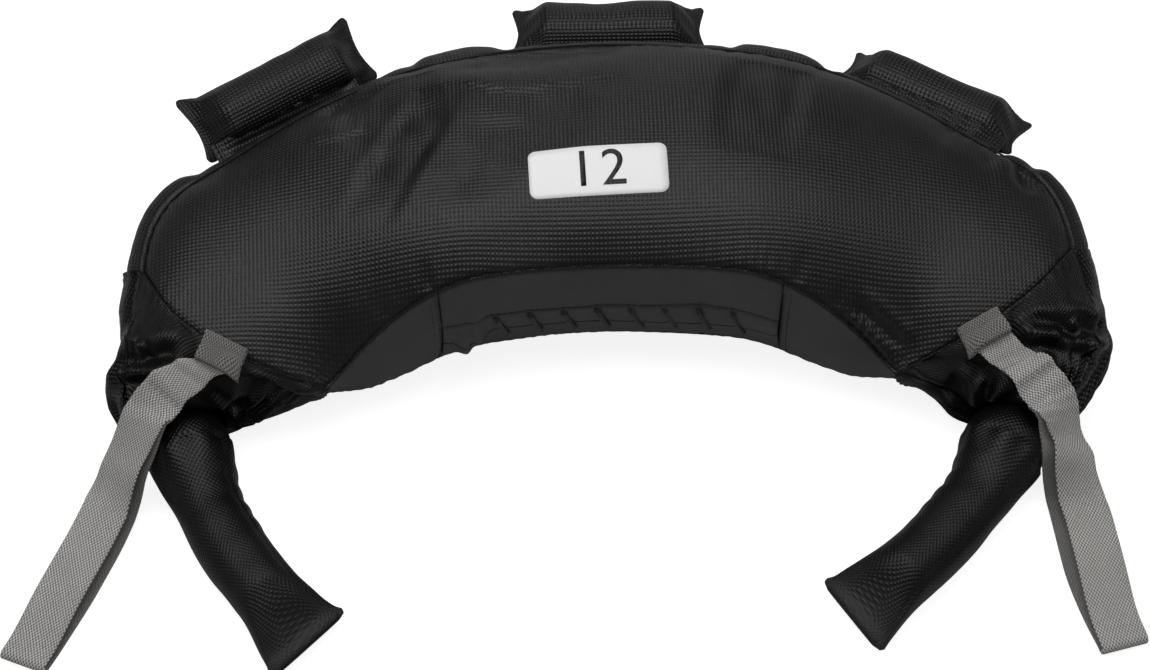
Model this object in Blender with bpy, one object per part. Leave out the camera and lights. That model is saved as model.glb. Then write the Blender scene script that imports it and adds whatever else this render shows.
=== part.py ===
# Bulgarian bag: a crescent of heavy coated fabric filled with sand, two stuffed end grips,
# three short grips sewn to its outer wall, two webbing hand loops and a laced filling slit.
# Units are metres, +Z is up. The origin is the middle of the underside, on the floor.
# +Y points to the outer (long) wall, and the crescent's open neck space points to -Y.

import math

import bmesh
import bpy
from mathutils import Matrix, Vector
from mathutils.bvhtree import BVHTree

# Plan of the crescent: its middle line is part of an ellipse, from end seam to end seam
line_half_span = 0.255
line_rise = 0.135
end_turn = math.radians(71.4)

# Body cross-section, in the middle and at the two end seams
half_width_middle = 0.086
half_width_end = 0.074
top_seam_height = 0.119
outer_seam_height_end = 0.082
inner_seam_height_end = 0.057
bottom_seam_height = 0.031
bottom_seam_height_end = 0.025
crown_middle = 0.033
crown_end = 0.027
crown_power_inner = 2.4
crown_power_outer = 3.2
outer_fall_start = 0.15      # the top seams stay level up to these shares of the way to the end seams
inner_fall_start = 0.30
inner_fall_end = 0.95
outer_bulge_middle = 0.017
outer_bulge_end = 0.013
outer_bulge_power = 4.0
outer_swell = 0.005         # how much further the outer wall bulges between the outer grips
outer_swell_start = 0.165
outer_swell_full = 0.265
inner_bulge_middle = 0.008
inner_bulge_end = 0.004
inner_tuck_middle = 0.008
inner_tuck_flank = 0.000
inner_tuck_end = 0.018
tuck_flank_start = 0.30
tuck_flank_full = 0.60
tuck_end_start = 0.66
end_seam_bow = 0.014
floor_share = 0.45          # share of the underside's half width that lies flat

# Fabric, seams and clearances
skin = 0.0016
seam_gap = 0.0003
touch_gap = 0.0004
socket_gap = 0.0014          # between the ball-shaped root of an end grip and the gathered neck round it
filler_gap = 0.0008
sack_reach = 0.985          # the outer sacks end at this share of the way to the end seams
sack_gap_share = 0.004

# Filling slit in the inner wall and its lace
slit_turn_share = 0.44      # the flaps end at this share of the way to the end seams
slit_height = 0.061
slit_gap = 0.0012
lace_radius = 0.0015
lace_hole_radius = 0.0027
lace_clearance = 0.0008
lace_stitches = 8
lace_pitch = 0.0215
lace_lean = 0.008
lace_shift = 0.006
lace_upper_height = 0.077
lace_lower_height = 0.052
lace_tail = 0.016
lace_tail_drop = 0.004
lace_corner_cut = 0.0018
lace_hole_half_depth = 0.006
flap_edge_margin = 0.006    # the least strip of flap between a seam and the slit
lacing_room = 0.0062

# End caps: how the seam's outline is gathered in to the round neck
cap_leave_share = 0.35
cap_arrive_share = 0.22
cap_turn_power = 1.15
cap_outer_power = {"left": 0.95, "right": 1.28}
cap_inner_power = {"left": 1.20, "right": 1.00}
cap_height_power = 1.8
cap_side_low = -0.06
cap_side_high = 0.02
cap_bow_power = 1.5
stuffing_rings = 5
stuffing_start = 0.125
stuffing_end = 0.55

# End grips
grip_length = 0.155
grip_radius = 0.0225
neck_radius = 0.027
neck_taper = 0.045
neck_socket_depth = 0.0135
neck_forward = 0.068
neck_outward = {"left": 0.026, "right": 0.009}
neck_slack = {"left": -0.004, "right": 0.008}
neck_heading = math.radians(18.0)
neck_back_angles = [math.radians(38.0), math.radians(55.0), math.radians(72.0)]
grip_turn = math.radians(29.0)
grip_rest_swing = {"left": math.radians(-3.0), "right": math.radians(10.0)}
grip_end_pinch = 0.030
grip_end_half_width = 0.029
grip_end_height = 0.013
flat_seam_half_gap = 0.0004
floor_clearance = 0.0004
core_least_half_height = 0.001

# Outer grips
outer_grip_places = {"left": -0.557, "center": 0.018, "right": 0.582}
outer_grip_tilts = {"left": math.radians(25.0), "center": math.radians(-11.0), "right": math.radians(-22.0)}
outer_grip_yaws = {"left": math.radians(8.0), "center": 0.0, "right": math.radians(-5.0)}
outer_grip_radius = 0.0215
outer_grip_half_length = 0.060
outer_grip_pinch = 0.016
outer_grip_ear_half_width = 0.021
outer_grip_neck_half_width = 0.016
outer_grip_root_height = 0.076
outer_flap_reach = 0.011
outer_flap_half_length = 0.052
outer_flap_thickness = 0.0032

# Webbing
webbing_width = 0.030
webbing_thickness = 0.0017
strap_clearance = 0.0007
tab_above_seam = -0.002
tab_below_seam = 0.021
tab_inward = 0.014
loop_opening = 0.010
loop_join = 0.050
loop_full = 0.165
strap_most_rise = 0.016     # the most that one edge of a strap lies above its middle
webbing_droop = 0.0012      # how far a span of webbing hangs below a straight line, per mesh step
strap_routes = {
    "left": [(-0.2485, -0.1268), (-0.2545, -0.1315), (-0.2640, -0.1350), (-0.2815, -0.1400),
             (-0.2960, -0.1480), (-0.3070, -0.1610), (-0.3160, -0.1810), (-0.3270, -0.2110),
             (-0.3440, -0.2480), (-0.3665, -0.2875)],
    "right": [(0.2362, -0.1276), (0.2450, -0.1345), (0.2585, -0.1400), (0.2705, -0.1500),
              (0.2787, -0.1630), (0.2862, -0.1820), (0.2913, -0.2080), (0.2945, -0.2350),
              (0.3002, -0.2640), (0.3115, -0.2970)],
}
strap_across = {
    "left": [(0.90, -0.44), (0.91, -0.41), (0.90, -0.44), (0.80, -0.60), (0.74, -0.67),
             (0.80, -0.60), (0.92, -0.39), (0.94, -0.33), (0.94, -0.34), (0.93, -0.37)],
    "right": [(0.93, 0.36), (0.92, 0.39), (0.88, 0.47), (0.84, 0.55), (0.88, 0.47),
              (0.97, 0.24), (1.00, 0.03), (1.00, 0.00), (0.99, 0.10), (0.96, 0.26)],
}

# Mesh fineness
stations_per_side = 12
panel_columns = 8
wall_columns = 4
flap_rows = 4
strap_steps = 3
strap_roll_spread = 3
taut_sweeps = 5
cap_rings = 7
tube_sides = 12


def mix(a, b, share):
    return a + (b - a) * share


def smooth_step(value, low=0.0, high=1.0):
    share = min(1.0, max(0.0, (value - low) / (high - low)))
    return share * share * (3.0 - 2.0 * share)


def clear_scene():
    for thing in list(bpy.data.objects):
        bpy.data.objects.remove(thing, do_unlink=True)


def make_material(name, color, roughness, metallic=0.0):
    material = bpy.data.materials.new(name)
    material.use_nodes = True
    shader = material.node_tree.nodes["Principled BSDF"]
    shader.inputs["Base Color"].default_value = (*color, 1.0)
    shader.inputs["Roughness"].default_value = roughness
    shader.inputs["Metallic"].default_value = metallic
    return material


def add_object(name, mesh_bm, material, smooth_angle=40.0):
    bmesh.ops.recalc_face_normals(mesh_bm, faces=mesh_bm.faces)
    mesh = bpy.data.meshes.new(name)
    mesh_bm.to_mesh(mesh)
    mesh_bm.free()
    mesh.materials.append(material)
    mesh.shade_smooth()
    mesh.set_sharp_from_angle(angle=math.radians(smooth_angle))
    thing = bpy.data.objects.new(name, mesh)
    bpy.context.collection.objects.link(thing)
    return thing


# Middle line of the crescent: share runs from -1 at the left end seam to 1 at the right one
def line_frame(share):
    turn = share * end_turn
    center = Vector((line_half_span * math.sin(turn), line_rise * (math.cos(turn) - 1.0), 0.0))
    outward = Vector((line_rise * math.sin(turn), line_half_span * math.cos(turn), 0.0)).normalized()
    along = Vector((outward.y, -outward.x, 0.0))
    return center, outward, along


def curve_samples(columns):
    return [-math.cos(math.pi * k / columns) for k in range(columns + 1)]


# How far the inner wall's bottom seam lies under the bag: least at the flanks, most at the end seams
def inner_tuck(f):
    flank = mix(inner_tuck_middle, inner_tuck_flank, smooth_step(f, tuck_flank_start, tuck_flank_full))
    return mix(flank, inner_tuck_end, smooth_step(f, tuck_end_start, 1.0))


# The inner wall's outward place (a negative number) at q, from -1 at its bottom seam to 1 at its top one
def inner_wall_reach(share, q):
    f = abs(share)
    half = mix(half_width_middle, half_width_end, smooth_step(f))
    bulge = mix(inner_bulge_middle, inner_bulge_end, smooth_step(f, 0.5, 1.0))
    return mix(inner_tuck(f) - half, -half, (q + 1.0) / 2.0) - bulge * (1.0 - q * q)


# The outer wall's outward place at q, full right up to its top seam
def outer_wall_reach(share, q):
    f = abs(share)
    half = mix(half_width_middle, half_width_end, smooth_step(f))
    bulge = mix(outer_bulge_middle, outer_bulge_end, smooth_step(f))
    away = min(abs(share - place) for place in outer_grip_places.values())
    bulge += outer_swell * smooth_step(away, outer_swell_start, outer_swell_full)
    power = outer_bulge_power if q > 0.0 else 2.0
    return half + bulge * (1.0 - abs(q) ** power)


# Heights of the inner wall's top and bottom seams
def inner_seam_heights(f):
    top = mix(top_seam_height, inner_seam_height_end, smooth_step(f, inner_fall_start, inner_fall_end))
    return top, mix(bottom_seam_height, bottom_seam_height_end, smooth_step(f))


# Section at a station, as (outward, height) pairs: top panel, outer wall, underside, inner wall
def section_loop(share):
    f = abs(share)
    half = mix(half_width_middle, half_width_end, smooth_step(f))
    seam_out = mix(top_seam_height, outer_seam_height_end, smooth_step(f, outer_fall_start, 1.0))
    seam_in, seam_low = inner_seam_heights(f)
    crown = mix(crown_middle, crown_end, smooth_step(f))
    loop = []
    for s in curve_samples(panel_columns):
        power = crown_power_outer if s > 0.0 else crown_power_inner
        height = mix(seam_in, seam_out, (s + 1.0) / 2.0) + crown * (1.0 - abs(s) ** power)
        loop.append((s * half, height))
    for k in range(1, wall_columns + 1):
        q = 1.0 - 2.0 * k / wall_columns
        loop.append((outer_wall_reach(share, q), mix(seam_low, seam_out, (q + 1.0) / 2.0)))
    for s in reversed(curve_samples(panel_columns)[:-1]):
        rise = max(0.0, (abs(s) - floor_share) / (1.0 - floor_share))
        reach = half if s > 0.0 else half - inner_tuck(f)
        loop.append((s * reach, seam_low * rise * rise))
    for k in range(1, wall_columns):
        q = -1.0 + 2.0 * k / wall_columns
        loop.append((inner_wall_reach(share, q), mix(seam_low, seam_in, (q + 1.0) / 2.0)))
    return loop


def inset_loop(loop, depth):
    count = len(loop)
    result = []
    for k in range(count):
        here = Vector(loop[k])
        before = (here - Vector(loop[k - 1])).normalized()
        after = (Vector(loop[(k + 1) % count]) - here).normalized()
        normal_before = Vector((before.y, -before.x))
        normal_after = Vector((after.y, -after.x))
        miter = (normal_before + normal_after).normalized()
        inner = here + miter * (depth[k] / max(0.5, miter.dot(normal_before)))
        result.append((inner.x, inner.y))
    return result


top_columns = (0, panel_columns)
outer_columns = (panel_columns, panel_columns + wall_columns)
under_columns = (outer_columns[1], outer_columns[1] + panel_columns)
inner_columns = (under_columns[1], under_columns[1] + wall_columns)
loop_count = inner_columns[1]


def column_bow(column):
    if column > panel_columns:
        return 0.0
    s = curve_samples(panel_columns)[column]
    return end_seam_bow * (1.0 - s * s)


def station_points(share, depth, bowed=True):
    center, outward, along = line_frame(share)
    loop = inset_loop(section_loop(share), depth)
    points = []
    for k, (out, height) in enumerate(loop):
        bow = column_bow(k) * abs(share) ** 4 * math.copysign(1.0, share) if bowed else 0.0
        points.append(center + outward * out + along * bow + Vector((0.0, 0.0, height)))
    return points


def even_depth(depth):
    return [depth] * loop_count


def fill_depth(depth):
    depths = even_depth(depth)
    for k in range(inner_columns[0] + 1, inner_columns[1]):
        depths[k] = depth + lacing_room
    depths[inner_columns[0]] = depth + lacing_room * 0.5
    depths[0] = depth + lacing_room * 0.5
    return depths


def trim_border(grid, gap):
    rows = len(grid)
    columns = len(grid[0])
    for row in grid:
        first = (row[1] - row[0]).normalized() * gap
        last = (row[-2] - row[-1]).normalized() * gap
        row[0] = row[0] + first
        row[-1] = row[-1] + last
    for c in range(columns):
        first = (grid[1][c] - grid[0][c]).normalized() * gap
        last = (grid[rows - 2][c] - grid[rows - 1][c]).normalized() * gap
        grid[0][c] = grid[0][c] + first
        grid[rows - 1][c] = grid[rows - 1][c] + last


# Closed solid between two sheets of points
def sheet_solid(name, outer_grid, inner_grid, material):
    bm = bmesh.new()
    outer = [[bm.verts.new(p) for p in row] for row in outer_grid]
    inner = [[bm.verts.new(p) for p in row] for row in inner_grid]
    rows = len(outer)
    columns = len(outer[0])
    for r in range(rows - 1):
        for c in range(columns - 1):
            bm.faces.new((outer[r][c], outer[r][c + 1], outer[r + 1][c + 1], outer[r + 1][c]))
            bm.faces.new((inner[r][c], inner[r + 1][c], inner[r + 1][c + 1], inner[r][c + 1]))
    for r in range(rows - 1):
        bm.faces.new((outer[r][0], outer[r + 1][0], inner[r + 1][0], inner[r][0]))
        bm.faces.new((outer[r][-1], inner[r][-1], inner[r + 1][-1], outer[r + 1][-1]))
    for c in range(columns - 1):
        bm.faces.new((outer[0][c], inner[0][c], inner[0][c + 1], outer[0][c + 1]))
        bm.faces.new((outer[-1][c], outer[-1][c + 1], inner[-1][c + 1], inner[-1][c]))
    return add_object(name, bm, material)


def panel(name, shares, columns, material):
    outer_grid = []
    inner_grid = []
    wanted = [k % loop_count for k in range(columns[0], columns[1] + 1)]
    for share in shares:
        outer_points = station_points(share, even_depth(0.0))
        inner_points = station_points(share, even_depth(skin))
        outer_grid.append([outer_points[k] for k in wanted])
        inner_grid.append([inner_points[k] for k in wanted])
    trim_border(outer_grid, seam_gap)
    trim_border(inner_grid, seam_gap)
    return sheet_solid(name, outer_grid, inner_grid, material)


# Loft through closed rings, with both ends closed
def ring_solid(name, rings, material, smooth_angle=40.0):
    bm = bmesh.new()
    loops = [[bm.verts.new(p) for p in ring] for ring in rings]
    count = len(loops[0])
    for low, high in zip(loops[:-1], loops[1:]):
        for k in range(count):
            n = (k + 1) % count
            bm.faces.new((low[k], low[n], high[n], high[k]))
    bm.faces.new(list(reversed(loops[0])))
    bm.faces.new(loops[-1])
    return add_object(name, bm, material, smooth_angle)


# Hollow loft, open at both ends
def tube_solid(name, outer_rings, inner_rings, material):
    bm = bmesh.new()
    outer = [[bm.verts.new(p) for p in ring] for ring in outer_rings]
    inner = [[bm.verts.new(p) for p in ring] for ring in inner_rings]
    count = len(outer[0])
    for k in range(count):
        n = (k + 1) % count
        for r in range(len(outer) - 1):
            bm.faces.new((outer[r][k], outer[r][n], outer[r + 1][n], outer[r + 1][k]))
        for r in range(len(inner) - 1):
            bm.faces.new((inner[r][k], inner[r + 1][k], inner[r + 1][n], inner[r][n]))
        bm.faces.new((outer[0][k], inner[0][k], inner[0][n], outer[0][n]))
        bm.faces.new((outer[-1][k], outer[-1][n], inner[-1][n], inner[-1][k]))
    return add_object(name, bm, material)


def station_shares(low, high):
    shares = [k / stations_per_side for k in range(-stations_per_side, stations_per_side + 1)]
    inside = [s for s in shares if low + 0.01 < s < high - 0.01]
    return [low] + inside + [high]


# Body panels
def wall_point(share, height, lift):
    # point on the inner wall's outer face, lifted off it towards the neck space
    f = abs(share)
    center, outward, along = line_frame(share)
    seam_in, seam_low = inner_seam_heights(f)
    q = 2.0 * (height - seam_low) / (seam_in - seam_low) - 1.0
    out = inner_wall_reach(share, q)
    step = 0.02
    rise = (inner_wall_reach(share, q + step) - inner_wall_reach(share, q - step)) / step
    slope = rise / (seam_in - seam_low)
    normal = (Vector((0.0, 0.0, slope)) - outward).normalized()
    return center + outward * out + Vector((0.0, 0.0, height)) + normal * lift


def flap(name, heights, material):
    shares = station_shares(-slit_turn_share, slit_turn_share)
    outer_grid = []
    inner_grid = []
    for share in shares:
        f = abs(share)
        seam_in, seam_low = inner_seam_heights(f)
        outer_section = station_points(share, even_depth(0.0))
        inner_section = station_points(share, even_depth(skin))
        outer_row = []
        inner_row = []
        for height in heights:
            if height == "top":
                outer_row.append(outer_section[0])
                inner_row.append(inner_section[0])
            elif height == "bottom":
                outer_row.append(outer_section[inner_columns[0]])
                inner_row.append(inner_section[inner_columns[0]])
            else:
                level = min(seam_in - flap_edge_margin, max(seam_low + flap_edge_margin, height))
                outer_row.append(wall_point(share, level, 0.0))
                inner_row.append(wall_point(share, level, -skin))
        outer_grid.append(outer_row)
        inner_grid.append(inner_row)
    trim_border(outer_grid, seam_gap)
    trim_border(inner_grid, seam_gap)
    return sheet_solid(name, outer_grid, inner_grid, material)


def make_body(leather, wall_leather):
    whole = station_shares(-1.0, 1.0)
    panel("top_panel", whole, top_columns, leather)
    panel("outer_wall", whole, outer_columns, leather)
    panel("bottom_panel", whole, under_columns, leather)
    panel("inner_wall_left", station_shares(-1.0, -slit_turn_share), inner_columns, wall_leather)
    panel("inner_wall_right", station_shares(slit_turn_share, 1.0), inner_columns, wall_leather)
    upper_edge = slit_height + slit_gap / 2.0
    lower_edge = slit_height - slit_gap / 2.0
    upper_heights = [mix(upper_edge, top_seam_height, k / flap_rows) for k in range(flap_rows)]
    lower_heights = [mix(lower_edge, bottom_seam_height, k / flap_rows) for k in range(flap_rows)]
    flap("lacing_flap_upper", upper_heights + ["top"], wall_leather)
    flap("lacing_flap_lower", ["bottom"] + list(reversed(lower_heights)), wall_leather)


# Lace: it whips out of an upper hole, down across the slit, in at a lower hole and back up inside
def share_at_inner_x(x):
    low = -1.0
    high = 1.0
    for step in range(40):
        middle = (low + high) / 2.0
        if wall_point(middle, slit_height, 0.0).x < x:
            low = middle
        else:
            high = middle
    return (low + high) / 2.0


def lace_holes():
    places = []
    for k in range(lace_stitches):
        x = lace_shift + (k - (lace_stitches - 1) / 2.0) * lace_pitch - lace_lean / 2.0
        places.append((share_at_inner_x(x), share_at_inner_x(x + lace_lean)))
    return places


def drill_lace_holes(places):
    for flap_name, column, height in (("lacing_flap_upper", 0, lace_upper_height),
                                      ("lacing_flap_lower", 1, lace_lower_height)):
        bm = bmesh.new()
        for place in places:
            outside = wall_point(place[column], height, lace_hole_half_depth)
            inside = wall_point(place[column], height, -lace_hole_half_depth)
            axis = (outside - inside).normalized()
            turn = Vector((0.0, 0.0, 1.0)).rotation_difference(axis).to_matrix().to_4x4()
            spot = Matrix.Translation((outside + inside) / 2.0) @ turn
            bmesh.ops.create_cone(bm, cap_ends=True, segments=8, radius1=lace_hole_radius,
                                  radius2=lace_hole_radius, depth=(outside - inside).length,
                                  matrix=spot)
        mesh = bpy.data.meshes.new(flap_name + "_cutter")
        bm.to_mesh(mesh)
        bm.free()
        cutter = bpy.data.objects.new(flap_name + "_cutter", mesh)
        bpy.context.collection.objects.link(cutter)
        cutter.hide_render = True
        cutter.display_type = "WIRE"
        cut = bpy.data.objects[flap_name].modifiers.new("lace holes", "BOOLEAN")
        cut.operation = "DIFFERENCE"
        cut.solver = "EXACT"
        cut.object = cutter


def make_lace(places, material):
    outside = lace_radius + lace_clearance
    inside = -skin - lace_radius - lace_clearance
    route = []
    for k, (upper, lower) in enumerate(places):
        if k == 0:
            start_share = share_at_inner_x(wall_point(upper, slit_height, 0.0).x - lace_tail)
            route.append(wall_point(start_share, lace_upper_height - lace_tail_drop, inside))
        for share, height, first, second in ((upper, lace_upper_height, inside, outside),
                                             (lower, lace_lower_height, outside, inside)):
            route.append(wall_point(share, height, first))
            route.append(wall_point(share, height, second))
    last_x = wall_point(places[-1][1], slit_height, 0.0).x
    end_share = share_at_inner_x(last_x + lace_tail)
    route.append(wall_point(end_share, lace_lower_height - lace_tail_drop, inside))
    points = round_corners(route, lace_corner_cut)
    curve = bpy.data.curves.new("lace", "CURVE")
    curve.dimensions = "3D"
    curve.bevel_depth = lace_radius
    curve.bevel_resolution = 2
    curve.use_fill_caps = True
    spline = curve.splines.new("POLY")
    spline.points.add(len(points) - 1)
    for spot, point in zip(spline.points, points):
        spot.co = (*point, 1.0)
    curve.materials.append(material)
    thing = bpy.data.objects.new("lace", curve)
    bpy.context.collection.objects.link(thing)
    return thing


def round_corners(points, cut):
    result = [points[0]]
    for before, here, after in zip(points[:-2], points[1:-1], points[2:]):
        back = (before - here).normalized()
        ahead = (after - here).normalized()
        result.append(here + back * cut)
        result.append(here + ahead * cut)
    result.append(points[-1])
    return result


# Filling
def make_filling(sack_material):
    third = 1.0 / 3.0
    bounds = {"left": (-sack_reach, -third), "center": (-third, third), "right": (third, sack_reach)}
    for side, (low, high) in bounds.items():
        low += sack_gap_share
        high -= sack_gap_share
        rings = []
        for share in station_shares(low, high):
            points = station_points(share, fill_depth(skin + filler_gap), bowed=False)
            rings.append(points[::2])
        ring_solid("sand_sack_" + side, rings, sack_material)


# End caps: from the end seam the leather is gathered in to the neck of the end grip
def side_sign(side):
    return -1.0 if side == "left" else 1.0


def neck_frame(side):
    sign = side_sign(side)
    center, outward, along = line_frame(sign)
    ball = center + Vector((sign * neck_outward[side], -neck_forward, neck_radius + floor_clearance))
    heading = Vector((-sign * math.sin(neck_heading), -math.cos(neck_heading), 0.0))
    ball += heading * neck_slack[side]
    return ball, heading


def cap_ring(side, u, depth):
    sign = side_sign(side)
    center, outward, along = line_frame(sign)
    forward = along * sign
    ball, heading = neck_frame(side)
    rim = ball - heading * neck_socket_depth
    reach = (rim - center).length
    a = Vector((center.x, center.y, 0.0))
    d = Vector((rim.x, rim.y, 0.0))
    b = a + forward * reach * cap_leave_share
    c = d - heading * reach * cap_arrive_share
    v = 1.0 - u
    spot = a * v ** 3 + b * 3.0 * v * v * u + c * 3.0 * v * u * u + d * u ** 3
    turn = math.atan2(forward.x * heading.y - forward.y * heading.x, forward.dot(heading))
    run = Matrix.Rotation(turn * u ** cap_turn_power, 3, "Z") @ forward
    across = Vector((-run.y, run.x, 0.0)) * sign
    rim_radius = math.sqrt(neck_radius ** 2 - neck_socket_depth ** 2) + socket_gap + skin
    keep_out = 1.0 - u ** cap_outer_power[side]
    keep_in = 1.0 - u ** cap_inner_power[side]
    keep_height = 1.0 - u ** cap_height_power
    loop = section_loop(1.0)
    middle_height = (min(p[1] for p in loop) + max(p[1] for p in loop)) / 2.0
    ring = []
    for out, height in loop:
        angle = math.atan2(height - middle_height, out)
        round_out = rim_radius * math.cos(angle)
        round_height = ball.z + rim_radius * math.sin(angle)
        keep = mix(keep_in, keep_out, smooth_step(out, cap_side_low, cap_side_high))
        ring.append((mix(round_out, out, keep), mix(round_height, height, keep_height)))
    ring = inset_loop(ring, even_depth(depth))
    points = []
    for k, (out, height) in enumerate(ring):
        bow = column_bow(k) * (1.0 - u) ** cap_bow_power
        points.append(spot + across * out + run * bow + Vector((0.0, 0.0, height)))
    return points


def make_end_cap(side, leather, stuffing_material):
    outer_rings = [cap_ring(side, k / cap_rings, 0.0) for k in range(cap_rings + 1)]
    inner_rings = [cap_ring(side, k / cap_rings, skin) for k in range(cap_rings + 1)]
    for rings in (outer_rings, inner_rings):
        rings[0] = [p + (q - p).normalized() * seam_gap for p, q in zip(rings[0], rings[1])]
    tube_solid("end_cap_" + side, outer_rings, inner_rings, leather)
    stuffing = []
    for k in range(stuffing_rings):
        u = mix(stuffing_start, stuffing_end, k / (stuffing_rings - 1))
        stuffing.append(cap_ring(side, u, skin + filler_gap)[::2])
    ring_solid("end_stuffing_" + side, stuffing, stuffing_material)


# End grips: sections along a gently curved line, closed flat at the free end
def grip_line(side, distance):
    sign = side_sign(side)
    ball, heading = neck_frame(side)
    start = neck_heading + grip_rest_swing[side]
    steps = 24
    spot = ball.copy()
    for k in range(steps):
        angle = start + grip_turn * (k + 0.5) / steps * distance / grip_length
        spot += Vector((-sign * math.sin(angle), -math.cos(angle), 0.0)) * (distance / steps)
    angle = start + grip_turn * distance / grip_length
    direction = Vector((-sign * math.sin(angle), -math.cos(angle), 0.0))
    low = mix(neck_radius, grip_radius, smooth_step(distance, 0.0, neck_taper)) + floor_clearance
    spot.z = mix(low, grip_end_height, smooth_step(distance, grip_length - grip_end_pinch, grip_length))
    return spot, direction


def grip_ring(side, distance, inset, least):
    spot, direction = grip_line(side, distance)
    across = Vector((-direction.y, direction.x, 0.0))
    radius = mix(neck_radius, grip_radius, smooth_step(distance, 0.0, neck_taper))
    pinch = smooth_step(distance, grip_length - grip_end_pinch, grip_length)
    wide = mix(radius, grip_end_half_width, pinch) - inset
    tall = max(least, mix(radius, skin + flat_seam_half_gap, pinch) - inset)
    ring = []
    for k in range(tube_sides):
        angle = 2.0 * math.pi * k / tube_sides
        ring.append(spot + across * (wide * math.cos(angle)) + Vector((0.0, 0.0, tall * math.sin(angle))))
    return ring


def ball_ring(side, back_angle, inset):
    ball = neck_frame(side)[0]
    direction = grip_line(side, 0.0)[1]
    across = Vector((-direction.y, direction.x, 0.0))
    radius = (neck_radius - inset) * math.sin(back_angle)
    spot = ball - direction * ((neck_radius - inset) * math.cos(back_angle))
    ring = []
    for k in range(tube_sides):
        angle = 2.0 * math.pi * k / tube_sides
        ring.append(spot + across * (radius * math.cos(angle)) + Vector((0.0, 0.0, radius * math.sin(angle))))
    return ring


def make_end_grip(side, leather, core_material):
    pinch_start = grip_length - grip_end_pinch
    lengths = [0.0, neck_taper * 0.5, neck_taper]
    lengths += [mix(neck_taper, pinch_start, s) for s in (0.4, 0.75, 1.0)]
    lengths += [grip_length - grip_end_pinch * s for s in (0.75, 0.5, 0.25, 0.0)]
    outer_rings = [ball_ring(side, a, 0.0) for a in neck_back_angles]
    outer_rings += [grip_ring(side, d, 0.0, skin + flat_seam_half_gap) for d in lengths]
    inner_rings = [ball_ring(side, a, skin) for a in neck_back_angles]
    inner_rings += [grip_ring(side, d, skin, flat_seam_half_gap) for d in lengths]
    tube_solid("end_grip_sleeve_" + side, outer_rings, inner_rings, leather)
    inset = skin + touch_gap
    core_rings = [ball_ring(side, neck_back_angles[0], inset)]
    core_rings += [grip_ring(side, d, inset, core_least_half_height) for d in lengths[:-2]]
    ring_solid("end_grip_core_" + side, core_rings, core_material)


# Outer grips: a stuffed sleeve with flat sewn ears, held to the outer wall by a short flap
def outer_wall_point(share, height):
    loop = section_loop(share)
    center, outward, along = line_frame(share)
    wall = loop[outer_columns[0]:outer_columns[1] + 1]
    for high, low in zip(wall[:-1], wall[1:]):
        if low[1] <= height <= high[1]:
            portion = (height - low[1]) / (high[1] - low[1])
            out = mix(low[0], high[0], portion)
            return center + outward * out + Vector((0.0, 0.0, height))
    return center + outward * wall[-1][0] + Vector((0.0, 0.0, wall[-1][1]))


def outer_grip_frame(name):
    share = outer_grip_places[name]
    center, outward, along = line_frame(share)
    wall = outer_wall_point(share, outer_grip_root_height)
    root = wall + outward * (touch_gap + outer_flap_thickness / 2.0)
    turn = Matrix.Rotation(outer_grip_yaws[name], 3, "Z")
    outward = turn @ outward
    along = turn @ along
    tilt = outer_grip_tilts[name]
    reach = outward * math.cos(tilt) + Vector((0.0, 0.0, math.sin(tilt)))
    return root, reach, along


def make_outer_grip(name, leather, core_material):
    root, reach, along = outer_grip_frame(name)
    side = reach.cross(along)
    tube_center = root + reach * (outer_flap_reach + outer_grip_radius + touch_gap)
    half = outer_grip_half_length
    pinch = outer_grip_pinch
    places = [half, half - pinch * 0.35, half - pinch * 0.7, half - pinch, half - pinch * 2.0, half * 0.3]
    places = [-p for p in places] + [p for p in reversed(places)]

    def sleeve_ring(place, inset, least):
        edge = half - abs(place)
        closing = 1.0 - smooth_step(edge, 0.0, pinch * 1.3)
        ear = 1.0 - smooth_step(edge, 0.0, pinch * 0.7)
        wide = mix(outer_grip_radius, outer_grip_neck_half_width, closing)
        wide = mix(wide, outer_grip_ear_half_width, ear) - inset
        tall = max(least, mix(outer_grip_radius, skin + flat_seam_half_gap, closing) - inset)
        ring = []
        for k in range(tube_sides):
            angle = 2.0 * math.pi * k / tube_sides
            offset = reach * (wide * math.cos(angle)) + side * (tall * math.sin(angle))
            ring.append(tube_center + along * place + offset)
        return ring

    outer_rings = [sleeve_ring(p, 0.0, skin + flat_seam_half_gap) for p in places]
    inner_rings = [sleeve_ring(p, skin, flat_seam_half_gap) for p in places]
    tube_solid("outer_grip_sleeve_" + name, outer_rings, inner_rings, leather)
    inset = skin + touch_gap
    core_rings = [sleeve_ring(p, inset, core_least_half_height) for p in places[2:-2]]
    ring_solid("outer_grip_core_" + name, core_rings, core_material)
    make_outer_flap(name, root, reach, along, side, tube_center, leather)


def make_outer_flap(name, root, reach, along, side, tube_center, leather):
    share = outer_grip_places[name]
    rings = []
    steps = 6
    for k in range(steps + 1):
        place = outer_flap_half_length * (2.0 * k / steps - 1.0)
        spot = root + along * place
        flat_reach = Vector((reach.x, reach.y, 0.0)).normalized()
        wall = nearest_wall_gap(share, spot, flat_reach)
        thick = outer_flap_thickness / 2.0
        back = -(wall - touch_gap - thick)
        front = outer_flap_reach
        tip = back - thick * 0.7
        ring = [spot + reach * front + side * thick, spot + reach * front - side * thick]
        ring += [spot + reach * back - side * thick, spot + reach * tip - side * (thick * 0.5)]
        ring += [spot + reach * tip + side * (thick * 0.5), spot + reach * back + side * thick]
        rings.append(ring)
    ring_solid("outer_grip_flap_" + name, rings, leather, 30.0)


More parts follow.
